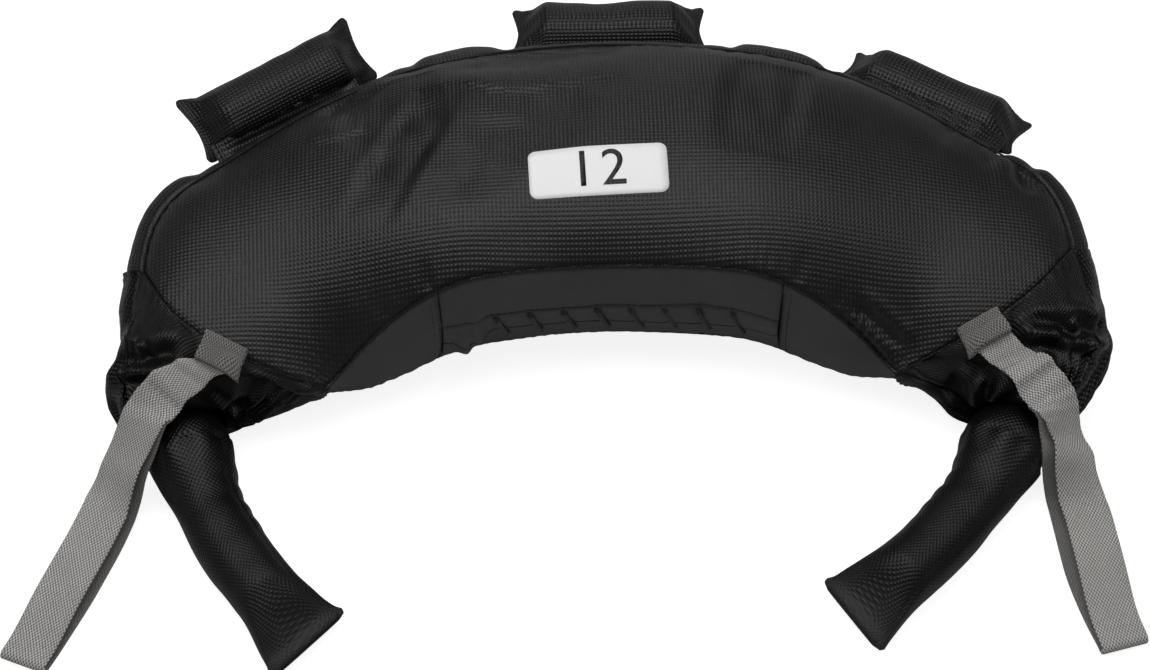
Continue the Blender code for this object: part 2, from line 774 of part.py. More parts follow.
def nearest_wall_gap(share, spot, direction):
    # distance from the spot back to the outer wall, against the direction
    low = -0.02
    high = 0.03
    for step in range(30):
        middle = (low + high) / 2.0
        probe = spot - direction * middle
        if outside_wall(share, probe):
            low = middle
        else:
            high = middle
    return (low + high) / 2.0


def outside_wall(share, probe):
    low = share - 0.35
    high = share + 0.35
    for step in range(30):
        middle = (low + high) / 2.0
        center, outward, along = line_frame(middle)
        if (Vector((probe.x, probe.y, 0.0)) - center).dot(along) > 0.0:
            low = middle
        else:
            high = middle
    center, outward, along = line_frame(low)
    wall = outer_wall_point(low, probe.z)
    return (Vector((probe.x, probe.y, 0.0)) - Vector((wall.x, wall.y, 0.0))).dot(outward) > 0.0


across_samples = (-1.0, -0.75, -0.5, -0.25, 0.25, 0.5, 0.75, 1.0)


# Webbing that lies on the bag follows the height of what is under it
class Ground:
    def __init__(self, names):
        self.trees = []
        depsgraph = bpy.context.evaluated_depsgraph_get()
        for name in names:
            self.trees.append(BVHTree.FromObject(bpy.data.objects[name], depsgraph))

    def height(self, x, y):
        top = 0.0
        for tree in self.trees:
            hit = tree.ray_cast(Vector((x, y, 0.5)), Vector((0.0, 0.0, -1.0)))
            if hit[0] is not None:
                top = max(top, hit[0].z)
        return top

    def normal(self, x, y, span=0.003):
        dx = self.height(x + span, y) - self.height(x - span, y)
        dy = self.height(x, y + span) - self.height(x, y - span)
        return Vector((-dx, -dy, 2.0 * span)).normalized()


def tab_frame(side):
    sign = side_sign(side)
    center, outward, along = line_frame(sign)
    seam = center + along * sign * end_seam_bow - outward * tab_inward
    return seam, along * sign, outward


def make_tab(side, ground, material):
    seam, forward, outward = tab_frame(side)
    length = tab_above_seam + tab_below_seam
    rows = 7
    columns = 6
    lower = []
    upper = []
    thick = 2.0 * webbing_thickness
    for r in range(rows + 1):
        low_row = []
        high_row = []
        for c in range(columns + 1):
            place = seam + forward * (length * r / rows - tab_above_seam)
            place = place + outward * (webbing_width * (c / columns - 0.5))
            height = max(ground.height(place.x + dx, place.y + dy)
                         for dx in (-0.002, 0.0, 0.002) for dy in (-0.002, 0.0, 0.002))
            spot = Vector((place.x, place.y, height + touch_gap))
            low_row.append(spot)
            high_row.append(spot + ground.normal(place.x, place.y, 0.008) * thick)
        lower.append(low_row)
        upper.append(high_row)
    return sheet_solid("strap_tab_" + side, upper, lower, material)


def smooth_route(points, per_span):
    result = []
    count = len(points)
    for k in range(count - 1):
        p0 = points[max(0, k - 1)]
        p1 = points[k]
        p2 = points[k + 1]
        p3 = points[min(count - 1, k + 2)]
        for step in range(per_span):
            t = step / per_span
            value = (p1 * 2.0 + (p2 - p0) * t + (p0 * 2.0 - p1 * 5.0 + p2 * 4.0 - p3) * t * t
                     + (p1 * 3.0 - p0 - p2 * 3.0 + p3) * t * t * t) * 0.5
            result.append(value)
    result.append(points[-1])
    return result


def nearby(values, k, spread):
    return values[max(0, k - spread):k + spread + 1]


# Slope across the strap of the tightest line over what is under it
def support_slope(heights):
    best = -1.0
    slope = 0.0
    for low, low_height in zip(across_samples, heights):
        for high, high_height in zip(across_samples, heights):
            if low < 0.0 < high:
                rise = (high_height - low_height) / (high - low)
                if low_height - rise * low > best:
                    best = low_height - rise * low
                    slope = rise
    return min(strap_most_rise, max(-strap_most_rise, slope))


def taut_heights(ground_heights):
    line = list(ground_heights)
    for sweep in range(taut_sweeps):
        for k in range(1, len(line) - 1):
            line[k] = max(ground_heights[k], (line[k - 1] + line[k + 1]) / 2.0 - webbing_droop)
    return line


# The strap lies across what is under it, so it rolls with the slope
def strap_line(side, ground):
    route = smooth_route([Vector(p) for p in strap_routes[side]], strap_steps)
    across = smooth_route([Vector(p).normalized() for p in strap_across[side]], strap_steps)
    profiles = []
    for spot, wide in zip(route, across):
        reach = wide.normalized() * webbing_width * 0.5
        profiles.append([ground.height(spot.x + reach.x * s, spot.y + reach.y * s) for s in across_samples])
    slopes = [support_slope(heights) for heights in profiles]
    middles = []
    rolls = []
    for k in range(len(route)):
        near = nearby(slopes, k, strap_roll_spread)
        roll = sum(near) / len(near)
        over = [h - roll * s for heights in nearby(profiles, k, 1) for h, s in zip(heights, across_samples)]
        rolls.append(roll)
        middles.append(max(over))
    middles = taut_heights(middles)
    rest = []
    wides = []
    for spot, wide, middle, roll in zip(route, across, middles, rolls):
        reach = wide.normalized() * webbing_width * 0.5
        wides.append(Vector((reach.x, reach.y, roll)).normalized())
        rest.append(Vector((spot.x, spot.y, middle)))
    base = []
    for k, spot in enumerate(rest):
        slope = strap_normal(rest, wides, k).z
        base.append(spot + Vector((0.0, 0.0, strap_clearance + webbing_thickness / 2.0 / max(0.4, slope))))
    return base, wides


def strap_normal(line, wides, k):
    ahead = line[min(k + 1, len(line) - 1)] - line[max(k - 1, 0)]
    normal = wides[k].cross(ahead).normalized()
    return -normal if normal.z < 0.0 else normal


# The strap folds at the middle of its upper layer's sewn end
def strap_root(base, wides):
    return base[0] + strap_normal(base, wides, 0) * (webbing_thickness + touch_gap)


def make_strap(side, ground, material):
    base, wides = strap_line(side, ground)
    distances = [0.0]
    for before, here in zip(base[:-1], base[1:]):
        distances.append(distances[-1] + (here - before).length)
    total = distances[-1]
    lower = []
    upper = []
    for k, spot in enumerate(base):
        normal = strap_normal(base, wides, k)
        lift = loop_opening * smooth_step(distances[k], loop_join, loop_full)
        lift = lift * (0.55 + 0.45 * (1.0 - smooth_step(distances[k], total - 0.05, total)))
        lower.append((spot, normal, wides[k]))
        upper.append((spot + normal * (lift + webbing_thickness + touch_gap), normal, wides[k]))
    turn = []
    low_end, normal, wide = lower[-1]
    high_end = upper[-1][0]
    outward = (base[-1] - base[-2]).normalized()
    middle = (low_end + high_end) / 2.0
    radius = (high_end - low_end).length / 2.0
    for step in range(1, 6):
        angle = math.pi * step / 6.0
        ray = normal * math.cos(angle) + outward * math.sin(angle)
        turn.append((middle + ray * radius, ray, wide))
    path = upper + turn + [(spot, -normal, wide) for spot, normal, wide in reversed(lower)]
    rings = []
    for spot, normal, wide in path:
        out = normal * (webbing_thickness / 2.0)
        edge = wide * (webbing_width / 2.0)
        rings.append([spot + edge + out, spot - edge + out, spot - edge - out, spot + edge - out])
    ring_solid("strap_loop_" + side, rings, material, 30.0)
    set_origin(["strap_loop_" + side], strap_root(base, wides))


# A moving piece turns about its own origin
def set_origin(names, spot):
    for name in names:
        thing = bpy.data.objects[name]
        thing.data.transform(Matrix.Translation(-spot))
        thing.location = spot


def main():
    clear_scene()
    leather = make_material("black_leather", (0.018, 0.018, 0.019), 0.42)
    wall_leather = make_material("black_wall_leather", (0.024, 0.024, 0.025), 0.5)
    webbing = make_material("grey_webbing", (0.22, 0.215, 0.205), 0.85)
    lace_cord = make_material("black_lace", (0.012, 0.012, 0.012), 0.8)
    sack_cloth = make_material("sack_cloth", (0.55, 0.47, 0.34), 0.9)
    stuffing = make_material("textile_stuffing", (0.62, 0.6, 0.56), 0.95)
    foam = make_material("grip_foam", (0.10, 0.10, 0.11), 0.9)
    make_body(leather, wall_leather)
    places = lace_holes()
    drill_lace_holes(places)
    make_lace(places, lace_cord)
    make_filling(sack_cloth)
    for side in ("left", "right"):
        make_end_cap(side, leather, stuffing)
        make_end_grip(side, leather, foam)
    for name in outer_grip_places:
        make_outer_grip(name, leather, foam)
    for side in ("left", "right"):
        shell = ["top_panel", "outer_wall", "end_cap_" + side, "end_grip_sleeve_" + side]
        make_tab(side, Ground(shell), webbing)
    for side in ("left", "right"):
        shell = ["top_panel", "outer_wall", "end_cap_" + side, "end_grip_sleeve_" + side, "strap_tab_" + side]
        make_strap(side, Ground(shell), webbing)
    for side in ("left", "right"):
        set_origin(["end_grip_sleeve_" + side, "end_grip_core_" + side], neck_frame(side)[0])
    for name in outer_grip_places:
        pieces = ["outer_grip_sleeve_", "outer_grip_core_", "outer_grip_flap_"]
        set_origin([piece + name for piece in pieces], outer_grip_frame(name)[0])


main()
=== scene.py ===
import math

import bmesh
import bpy
from mathutils import Matrix, Vector, noise
from mathutils.bvhtree import BVHTree


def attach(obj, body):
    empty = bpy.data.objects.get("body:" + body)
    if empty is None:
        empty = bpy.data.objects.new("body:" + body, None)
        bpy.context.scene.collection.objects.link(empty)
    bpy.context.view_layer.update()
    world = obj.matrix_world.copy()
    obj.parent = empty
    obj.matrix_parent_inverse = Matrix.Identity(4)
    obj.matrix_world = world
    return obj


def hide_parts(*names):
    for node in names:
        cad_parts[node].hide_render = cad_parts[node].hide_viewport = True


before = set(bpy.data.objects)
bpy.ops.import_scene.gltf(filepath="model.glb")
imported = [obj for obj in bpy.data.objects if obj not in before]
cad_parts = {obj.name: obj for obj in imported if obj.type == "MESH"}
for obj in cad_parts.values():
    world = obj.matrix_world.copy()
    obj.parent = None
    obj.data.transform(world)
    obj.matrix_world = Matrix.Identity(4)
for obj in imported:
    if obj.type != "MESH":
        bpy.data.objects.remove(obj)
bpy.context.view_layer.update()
print("frame loaded:", len(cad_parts), "nodes")


def mix(a, b, share):
    return a + (b - a) * share


def smoothStep(value, low=0.0, high=1.0):
    share = min(1.0, max(0.0, (value - low) / (high - low)))
    return share * share * (3.0 - 2.0 * share)


def hump(value, center, width):
    return math.exp(-((value - center) / width) ** 2)


seedSteps = (7.31, 3.17, 5.77)  # how far one seed's noise lies from the next one's


def lump(point, scale, seed):
    return noise.noise(Vector(point) * scale + Vector([seed * step for step in seedSteps]))


# the photograph's camera, whose line of sight also says where a crease lies on the cloth
view = {"at": (-0.0547, -1.1802, 1.7273), "ahead": (0.0162, 0.5444, -0.8387),
        "right": (0.99956, -0.02967, 0.0), "lens": 97.83, "sensor": 36.0}
eye = Vector(view["at"])
creaseLook = {"deepest": 0.030, "reach": 5.0, "lipAt": 2.3, "lipWidth": 1.2, "wobble": 0.4,
              "wobbleScale": 60.0, "wobbleSeed": 77, "fadeIn": (-0.05, 0.25), "fadeOut": (0.75, 1.05)}


# how far a spot is seen from a crease's line, and the place along the line
def seenFromCrease(here, points, sight):
    away = 1.0
    place = 0.0
    for k in range(len(points) - 1):
        start = Vector(points[k])
        run = Vector(points[k + 1]) - start
        along = max(0.0, min(1.0, (here - start).dot(run) / run.length_squared))
        apart = here - start - run * along
        deep = apart.dot(sight)
        distance = (apart - sight * deep).length if abs(deep) < creaseLook["deepest"] else 1.0
        if distance < away:
            away = distance
            place = (k + along) / (len(points) - 1)
    return away, place


# a crease is its points, its depth, its width and the height of its lips
def creaseRelief(here, creases):
    total = 0.0
    sight = (here - eye).normalized()
    for points, depth, width, lip in creases:
        away, place = seenFromCrease(here, points, sight)
        if away < width * creaseLook["reach"]:
            fade = smoothStep(place, *creaseLook["fadeIn"])
            fade *= 1.0 - smoothStep(place, *creaseLook["fadeOut"])
            uneven = lump(here, creaseLook["wobbleScale"], creaseLook["wobbleSeed"])
            wobble = 1.0 + creaseLook["wobble"] * uneven
            fromLip = (away - creaseLook["lipAt"] * width) / (creaseLook["lipWidth"] * width)
            total -= depth * fade * math.exp(-(away / width) ** 2) * wobble
            total += lip * fade * math.exp(-fromLip ** 2) * wobble
    return total


# finishes
def feed(tree, node, inputs):
    for key, value in inputs.items():
        if isinstance(value, bpy.types.NodeSocket):
            tree.links.new(value, node.inputs[key])
        else:
            node.inputs[key].default_value = value


def addNode(tree, kind, settings=None, inputs=None):
    node = tree.nodes.new(kind)
    for key, value in (settings or {}).items():
        setattr(node, key, value)
    feed(tree, node, inputs or {})
    return node


def calc(tree, operation, first, second=0.0, clamp=False):
    return addNode(tree, "ShaderNodeMath", {"operation": operation, "use_clamp": clamp},
                   {0: first, 1: second}).outputs[0]


def times(tree, first, second):
    return calc(tree, "MULTIPLY", first, second)


def ramp(tree, value, low, high, toLow=0.0, toHigh=1.0):
    limits = {"Value": value, "From Min": low, "From Max": high, "To Min": toLow, "To Max": toHigh}
    return addNode(tree, "ShaderNodeMapRange", {"interpolation_type": "SMOOTHSTEP"}, limits).outputs[0]


def blendColor(tree, share, first, second):
    return addNode(tree, "ShaderNodeMix", {"data_type": "RGBA"},
                   {0: share, 6: (*first, 1.0), 7: (*second, 1.0)}).outputs[2]


def bump(tree, height, distance, strength=1.0, under=None):
    inputs = {"Strength": strength, "Distance": distance, "Height": height}
    if under is not None:
        inputs["Normal"] = under
    return addNode(tree, "ShaderNodeBump", None, inputs).outputs[0]


def startMaterial(name):
    material = bpy.data.materials.new(name)
    material.use_nodes = True
    tree = material.node_tree
    return material, tree, tree.nodes["Principled BSDF"]


def flatCoordinates(tree, turn=None):
    flat = addNode(tree, "ShaderNodeUVMap", {"uv_map": "flat"}).outputs[0]
    if turn is not None:
        flat = addNode(tree, "ShaderNodeMapping", None,
                       {"Vector": flat, "Rotation": (0.0, 0.0, math.radians(turn))}).outputs[0]
    parts = addNode(tree, "ShaderNodeSeparateXYZ", None, {0: flat})
    return parts.outputs[0], parts.outputs[1]


def wave(tree, value, pitch):
    return calc(tree, "COSINE", times(tree, value, 2.0 * math.pi / pitch))


def cells(tree, u, v, pitchU, pitchV):
    return times(tree, wave(tree, u, pitchU), wave(tree, v, pitchV))


def dots(tree, u, v, pitch):
    columns, rows = (calc(tree, "ADD", 0.5, times(tree, 0.5, wave(tree, value, pitch))) for value in (u, v))
    return times(tree, columns, rows)


def objectNoise(tree, scale, detail=2.0, rough=0.6):
    coords = addNode(tree, "ShaderNodeTexCoord").outputs["Object"]
    return addNode(tree, "ShaderNodeTexNoise", None,
                   {"Vector": coords, "Scale": scale, "Detail": detail, "Roughness": rough}).outputs[0]


# the "wear" attribute: real seam wear on most pieces, painted shade on the straps' lower runs and a painted
# highlight on the end grips' flat ends
def wearAndPaintedLightOf(tree):
    return addNode(tree, "ShaderNodeAttribute", {"attribute_name": "wear"}).outputs["Fac"]


leatherLooks = {
    "embossedLeather": {"color": (0.0040, 0.0040, 0.0043), "lift": (0.034, 0.034, 0.036), "roughness": 0.40,
                        "pitch": 0.0026, "emboss": 0.00034, "grain": 0.00004, "gloss": 0.52, "turn": 0.0,
                        "dots": 0.42},
    "gripLeather": {"color": (0.0012, 0.0012, 0.0013), "lift": (0.030, 0.030, 0.031), "roughness": 0.36,
                    "pitch": 0.0021, "emboss": 0.00030, "grain": 0.00004, "gloss": 0.36, "turn": 45.0,
                    "dots": 0.11},
    "outerLeather": {"color": (0.0016, 0.0016, 0.0018), "lift": (0.026, 0.026, 0.027), "roughness": 0.36,
                     "pitch": 0.0024, "emboss": 0.00045, "grain": 0.00004, "gloss": 0.50, "turn": 0.0,
                     "dots": 0.22},
    "capLeather": {"color": (0.0012, 0.0012, 0.0013), "lift": (0.016, 0.016, 0.017), "roughness": 0.27,
                   "pitch": 0.0023, "emboss": 0.00030, "grain": 0.00006, "gloss": 0.34, "turn": 20.0,
                   "dots": 0.25},
    "wallLeather": {"color": (0.0390, 0.0390, 0.0395), "lift": (0.085, 0.085, 0.086), "roughness": 0.50,
                    "pitch": 0.0012, "emboss": 0.00003, "grain": 0.00007, "gloss": 0.50, "turn": 0.0,
                    "dots": 0.15},
}
# what time has done to every leather: pale patches, worn seams, dots that are worn unevenly; on the end grips
# the seam term also paints a highlight on the flat end
leatherAge = {"grainScale": 1400.0, "patchScale": 22.0, "patches": 0.16, "dotScale": 420.0,
              "dotWear": (0.3, 0.7, 0.45, 1.0), "seams": 0.40, "patchRough": 0.10, "seamRough": 0.12,
              "dotGloss": 0.08}


def leatherMaterial(name):
    look = leatherLooks[name]
    material, tree, shader = startMaterial(name)
    weave = dots(tree, *flatCoordinates(tree, look["turn"]), look["pitch"])
    patches = objectNoise(tree, leatherAge["patchScale"], 3.0, 0.55)
    wear = wearAndPaintedLightOf(tree)
    uneven = ramp(tree, objectNoise(tree, leatherAge["dotScale"]), *leatherAge["dotWear"])
    share = times(tree, ramp(tree, patches, 0.35, 0.75), leatherAge["patches"])
    share = calc(tree, "ADD", share, times(tree, times(tree, weave, uneven), look["dots"]))
    # wear lightens the seams; on the end grips it also paints a highlight on the flat end
    share = calc(tree, "ADD", share, times(tree, wear, leatherAge["seams"]), clamp=True)
    rough = calc(tree, "ADD", look["roughness"], times(tree, patches, leatherAge["patchRough"]))
    rough = calc(tree, "ADD", rough, times(tree, wear, leatherAge["seamRough"]))
    rough = calc(tree, "SUBTRACT", rough, times(tree, weave, leatherAge["dotGloss"]))
    grain = bump(tree, objectNoise(tree, leatherAge["grainScale"], 3.0), look["grain"])
    feed(tree, shader, {"Base Color": blendColor(tree, share, look["color"], look["lift"]),
                        "Roughness": rough, "Normal": bump(tree, weave, look["emboss"], under=grain)})
    shader.inputs["Specular IOR Level"].default_value = look["gloss"]
    return material


webbingLooks = {"greyWebbing": {"dark": (0.13, 0.127, 0.122), "light": (0.74, 0.722, 0.698),
                                "across": 0.0021, "along": 0.0030, "depth": 0.0003},
                "tabWebbing": {"dark": (0.035, 0.034, 0.033), "light": (0.30, 0.289, 0.275),
                               "across": 0.0019, "along": 0.0024, "depth": 0.0004}}
webbingShade = 0.22  # light left on a strap's lower run, in the shade of its upper run


def webbingMaterial(name):
    look = webbingLooks[name]
    material, tree, shader = startMaterial(name)
    weave = ramp(tree, cells(tree, *flatCoordinates(tree), look["across"], look["along"]), -0.75, 0.65)
    strands = objectNoise(tree, 900.0)
    patches = objectNoise(tree, 30.0, rough=0.5)
    share = times(tree, weave, ramp(tree, strands, 0.2, 0.8, 0.65, 1.0))
    share = times(tree, share, ramp(tree, patches, 0.2, 0.8, 0.82, 1.0))
    # the "wear" attribute marks the strap's lower run: painted shade that dims its light threads under the
    # upper run
    share = times(tree, share, calc(tree, "SUBTRACT", 1.0, times(tree, wearAndPaintedLightOf(tree), 1.0 - webbingShade)))
    fibres = bump(tree, strands, 0.00006, 0.6)
    feed(tree, shader, {"Base Color": blendColor(tree, share, look["dark"], look["light"]), "Roughness": 0.82,
                        "Normal": bump(tree, weave, look["depth"], under=fibres)})
    shader.inputs["Sheen Weight"].default_value = 0.25
    return material


# patterns of the small pieces: what mixes a finish's two colours, and the height of its bump
def threadPattern(tree, look):
    fibres = objectNoise(tree, 2600.0)
    return fibres, fibres


def lacePattern(tree, look):
    braid = ramp(tree, cells(tree, *flatCoordinates(tree), look["across"], look["along"]), -0.6, 0.7)
    return times(tree, braid, objectNoise(tree, 2400.0)), braid


def printPattern(tree, look):
    weave = ramp(tree, cells(tree, *flatCoordinates(tree), look["pitch"], look["pitch"]), -0.7, 0.8)
    return ramp(tree, objectNoise(tree, 320.0, 3.0), 0.15, 0.35), weave


def clothPattern(tree, look):
    coords = addNode(tree, "ShaderNodeTexCoord").outputs["Object"]
    parts = addNode(tree, "ShaderNodeSeparateXYZ", None, {0: coords}).outputs
    weave = ramp(tree, cells(tree, parts[0], parts[2], look["pitch"], look["pitch"]), -0.6, 0.6)
    return weave, weave


thread = {"pattern": threadPattern, "roughness": 0.6, "depth": 0.00008, "strength": 0.7}
cloth = {"pattern": clothPattern, "roughness": 0.9, "depth": 0.0003, "strength": 0.8}
plainLooks = {
    "blackThread": {"dark": (0.006, 0.006, 0.006), "light": (0.035, 0.035, 0.035), **thread},
    "greyThread": {"dark": (0.10, 0.098, 0.095), "light": (0.30, 0.295, 0.285), **thread},
    "blackLace": {"dark": (0.0015, 0.0015, 0.0015), "light": (0.010, 0.010, 0.010), "pattern": lacePattern,
                  "across": 0.5, "along": 0.0022, "roughness": 0.75, "sheen": 0.2, "depth": 0.00025,
                  "strength": 1.0},
    "whitePrint": {"dark": (0.86, 0.86, 0.855), "light": (0.98, 0.98, 0.98), "pattern": printPattern,
                   "pitch": 0.0031, "roughness": 0.5, "depth": 0.00010, "strength": 0.6},
    "sackCloth": {"dark": (0.36, 0.30, 0.21), "light": (0.58, 0.50, 0.37), "pitch": 0.0014, **cloth},
    "stuffingCloth": {"dark": (0.42, 0.41, 0.38), "light": (0.66, 0.64, 0.60), "pitch": 0.0030, **cloth},
    "gripFoam": {"dark": (0.05, 0.05, 0.055), "light": (0.12, 0.12, 0.13), "pitch": 0.0022, **cloth},
}


def plainMaterial(name):
    look = plainLooks[name]
    material, tree, shader = startMaterial(name)
    share, height = look["pattern"](tree, look)
    feed(tree, shader, {"Base Color": blendColor(tree, share, look["dark"], look["light"]),
                        "Roughness": look["roughness"],
                        "Normal": bump(tree, height, look["depth"], look["strength"])})
    shader.inputs["Sheen Weight"].default_value = look.get("sheen", 0.0)
    return material


finishes = {}
for looks, makeMaterial in ((leatherLooks, leatherMaterial), (webbingLooks, webbingMaterial),
                            (plainLooks, plainMaterial)):
    for name in looks:
        finishes[name] = makeMaterial(name)
print("materials made")


# makers shared by the pieces
mergeDistance = 0.00002


# a piece's "wear" values: real wear at its seams, painted shade on a strap's lower run, a painted highlight at
# an end grip's flat end
def gridPiece(grid, place, flat, relief=None, closed=False, flipped=False, wear=None):
    bm = bmesh.new()
    bmesh.ops.create_grid(bm, x_segments=grid[0], y_segments=grid[1], size=0.5)
    layer = bm.loops.layers.uv.new("flat")
    worn = bm.verts.layers.float.new("wear")
    home = {vert: (vert.co.x + 0.5, vert.co.y + 0.5) for vert in bm.verts}
    for face in bm.faces:
        for loop in face.loops:
            loop[layer].uv = flat(*home[loop.vert])
    for vert, (u, v) in home.items():
        vert.co = place(u, v)
        if wear:
            vert[worn] = wear(u, v)
    if flipped:
        bmesh.ops.reverse_faces(bm, faces=bm.faces)
    if relief:
        bm.normal_update()
        moves = [(vert, vert.normal * relief(u, v, vert.co)) for vert, (u, v) in home.items()]
        for vert, move in moves:
            vert.co += move
    if closed:
        bmesh.ops.remove_doubles(bm, verts=bm.verts, dist=mergeDistance)
    return bm


def closeShell(bm):
    bmesh.ops.holes_fill(bm, edges=[edge for edge in bm.edges if edge.is_boundary], sides=0)
    bmesh.ops.recalc_face_normals(bm, faces=bm.faces)
    return bm


def flatMap(wide, long):
    return lambda u, v: (u * wide, v * long)


def finishPiece(name, bm, finish, body, replaced=(), thickness=0.0, fill=None):
    mesh = bpy.data.meshes.new(name)
    bm.to_mesh(mesh)
    bm.free()
    mesh.materials.append(finishes[finish])
    mesh.shade_smooth()
    piece = bpy.data.objects.new(name, mesh)
    bpy.context.collection.objects.link(piece)
    if thickness:
        shell = piece.modifiers.new("fabric thickness", "SOLIDIFY")
        shell.thickness = thickness
        shell.offset = -1.0
        shell.use_even_offset = False
    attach(piece, body)
    if replaced:
        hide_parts(*replaced)
    return piece


stitchLook = {"length": 0.0030, "gap": 0.0011, "radius": 0.00032, "proud": 0.45, "segments": (6, 4)}


def stitchAlong(bm, points, normals):
    radius = stitchLook["radius"]
    pitch = stitchLook["length"] + stitchLook["gap"]
    size = Matrix.Diagonal((stitchLook["length"] / 2.0, radius, radius, 1.0))
    travelled = 0.0
    nextAt = pitch * 0.5
    for k in range(len(points) - 1):
        run = points[k + 1] - points[k]
        while travelled + run.length > nextAt:
            share = (nextAt - travelled) / run.length
            spot = points[k] + run * share
            up = (normals[k] * (1.0 - share) + normals[k + 1] * share).normalized()
            ahead = run.normalized()
            side = up.cross(ahead).normalized()
            turn = Matrix((ahead, side, up)).transposed().to_4x4()
            columns, rows = stitchLook["segments"]
            bmesh.ops.create_uvsphere(bm, u_segments=columns, v_segments=rows, radius=1.0,
                                      matrix=Matrix.Translation(spot + up * radius * stitchLook["proud"])
                                      @ turn @ size)
            nextAt += pitch
        travelled += run.length


# a row of stitches on a surface, along u at a fixed v or the other way round
def stitchRow(bm, place, fixed, alongU, low, high, count, step=0.002):
    points = []
    normals = []
    for k in range(count + 1):
        t = mix(low, high, k / count)
        u, v = (t, fixed) if alongU else (fixed, t)
        overU = place(u + step, v) - place(u - step, v)
        overV = place(u, v + step) - place(u, v - step)
        points.append(place(u, v))
        normals.append(overU.cross(overV).normalized())
    stitchAlong(bm, points, normals)


# the bag's body: the same crescent as the frame's, drawn finer
bag = {"swellLost": 0.6, "swellLostFrom": 0.85, "spreadGrows": (0.12, 0.42), "spreadEnds": 0.80,
       "flankGrows": (0.30, 0.60), "floorIn": (-0.1, 1.0), "trimIn": (-1.0, -0.2),
       "lineHalfSpan": 0.255, "lineRise": 0.135, "endTurn": math.radians(71.4),
       "halfWidth": (0.086, 0.074), "topSeam": 0.119, "outerSeamEnd": 0.082, "innerSeamEnd": 0.057,
       "lowSeam": (0.031, 0.025), "crown": (0.033, 0.027), "crownPower": {"inner": 2.4, "outer": 3.2},
       "outerBulge": (0.017, 0.013), "outerBulgePower": 4.0, "innerBulge": (0.008, 0.004),
       "swellBetween": 0.0085, "spread": {"left": 0.0070, "center": 0.0030, "right": 0.0080},
       "gripShares": {"left": -0.557, "center": 0.018, "right": 0.582}, "gripReach": (0.155, 0.255),
       "tuck": {"middle": 0.008, "flank": -0.001, "end": 0.021}, "seamBow": {"left": 0.022, "right": 0.014},
       "fallFrom": 0.84, "fall": 0.42, "trim": {"left": (0.006, 0.010), "right": (0.006, 0.009)},
       "trimAt": (0.84, 0.10), "cutBackAt": (0.88, 0.12), "floorShare": 0.45, "skin": 0.0016,
       "slitShare": 0.44, "slitHeight": 0.061}


def sideOf(share):
    return "left" if share < 0.0 else "right"


def lineFrame(share):
    turn = share * bag["endTurn"]
    sine, cosine = math.sin(turn), math.cos(turn)
    center = Vector((bag["lineHalfSpan"] * sine, bag["lineRise"] * (cosine - 1.0), 0.0))
    outward = Vector((bag["lineRise"] * sine, bag["lineHalfSpan"] * cosine, 0.0)).normalized()
    return center, outward, Vector((outward.y, -outward.x, 0.0))


def swellBetween(share):
    away = min(abs(share - place) for place in bag["gripShares"].values())
    atEnds = 1.0 - bag["swellLost"] * smoothStep(abs(share), bag["swellLostFrom"], 1.0)
    return bag["swellBetween"] * smoothStep(away, *bag["gripReach"]) * atEnds


def spreadAt(share):
    grown = smoothStep(abs(share), *bag["spreadGrows"])
    reach = mix(bag["spread"]["center"], bag["spread"][sideOf(share)], grown)
    return reach * (1.0 - smoothStep(abs(share), bag["spreadEnds"], 1.0))


def sectionAt(share):
    f = min(1.0, abs(share))
    ease = smoothStep(f)
    fall = max(0.0, (f - bag["fallFrom"]) / (1.0 - bag["fallFrom"])) ** 2
    fuller, cutBack = bag["trim"][sideOf(share)]
    start, length = bag["cutBackAt"]
    flank = mix(bag["tuck"]["middle"], bag["tuck"]["flank"], smoothStep(f, *bag["flankGrows"]))
    return {"half": mix(*bag["halfWidth"], ease),
            "trim": fuller * hump(f, *bag["trimAt"]) - cutBack * max(0.0, (f - start) / length) ** 2,
            "seamOut": mix(bag["topSeam"], bag["outerSeamEnd"], smoothStep(f, 0.15, 1.0)),
            "seamIn": mix(bag["topSeam"], bag["innerSeamEnd"], smoothStep(f, 0.30, 0.95)),
            "seamLow": mix(*bag["lowSeam"], ease),
            "crown": mix(*bag["crown"], ease) * (1.0 - bag["fall"] * fall),
            "spread": spreadAt(share),
            "bulgeOut": mix(*bag["outerBulge"], ease) + swellBetween(share),
            "bulgeIn": mix(*bag["innerBulge"], smoothStep(f, 0.5, 1.0)),
            "tuck": mix(flank, bag["tuck"]["end"], smoothStep(f, 0.66, 1.0))}


def outlineTop(cut, s):
    s = max(-1.0, min(1.0, s))
    power = bag["crownPower"]["outer" if s > 0.0 else "inner"]
    out = s * cut["half"] + (cut["spread"] + cut["trim"]) * smoothStep(s, 0.25, 1.0)
    return out, mix(cut["seamIn"], cut["seamOut"], (s + 1.0) / 2.0) + cut["crown"] * (1.0 - abs(s) ** power)


def outlineOuter(cut, q):
    power = bag["outerBulgePower"] if q > 0.0 else 2.0
    spread = cut["spread"] * smoothStep(q, *bag["floorIn"])
    out = cut["half"] + cut["bulgeOut"] * (1.0 - abs(q) ** power) + spread
    out += cut["trim"] * smoothStep(q, *bag["trimIn"])
    return out, mix(cut["seamLow"], cut["seamOut"], (q + 1.0) / 2.0)


def outlineUnder(cut, s):
    s = max(-1.0, min(1.0, s))
    rise = max(0.0, (abs(s) - bag["floorShare"]) / (1.0 - bag["floorShare"]))
    reach = cut["half"] if s > 0.0 else cut["half"] - cut["tuck"]
    return s * reach, cut["seamLow"] * rise * rise


def outlineInner(cut, q):
    out = mix(cut["tuck"] - cut["half"], -cut["half"], (q + 1.0) / 2.0) - cut["bulgeIn"] * (1.0 - q * q)
    return out, mix(cut["seamLow"], cut["seamIn"], (q + 1.0) / 2.0)


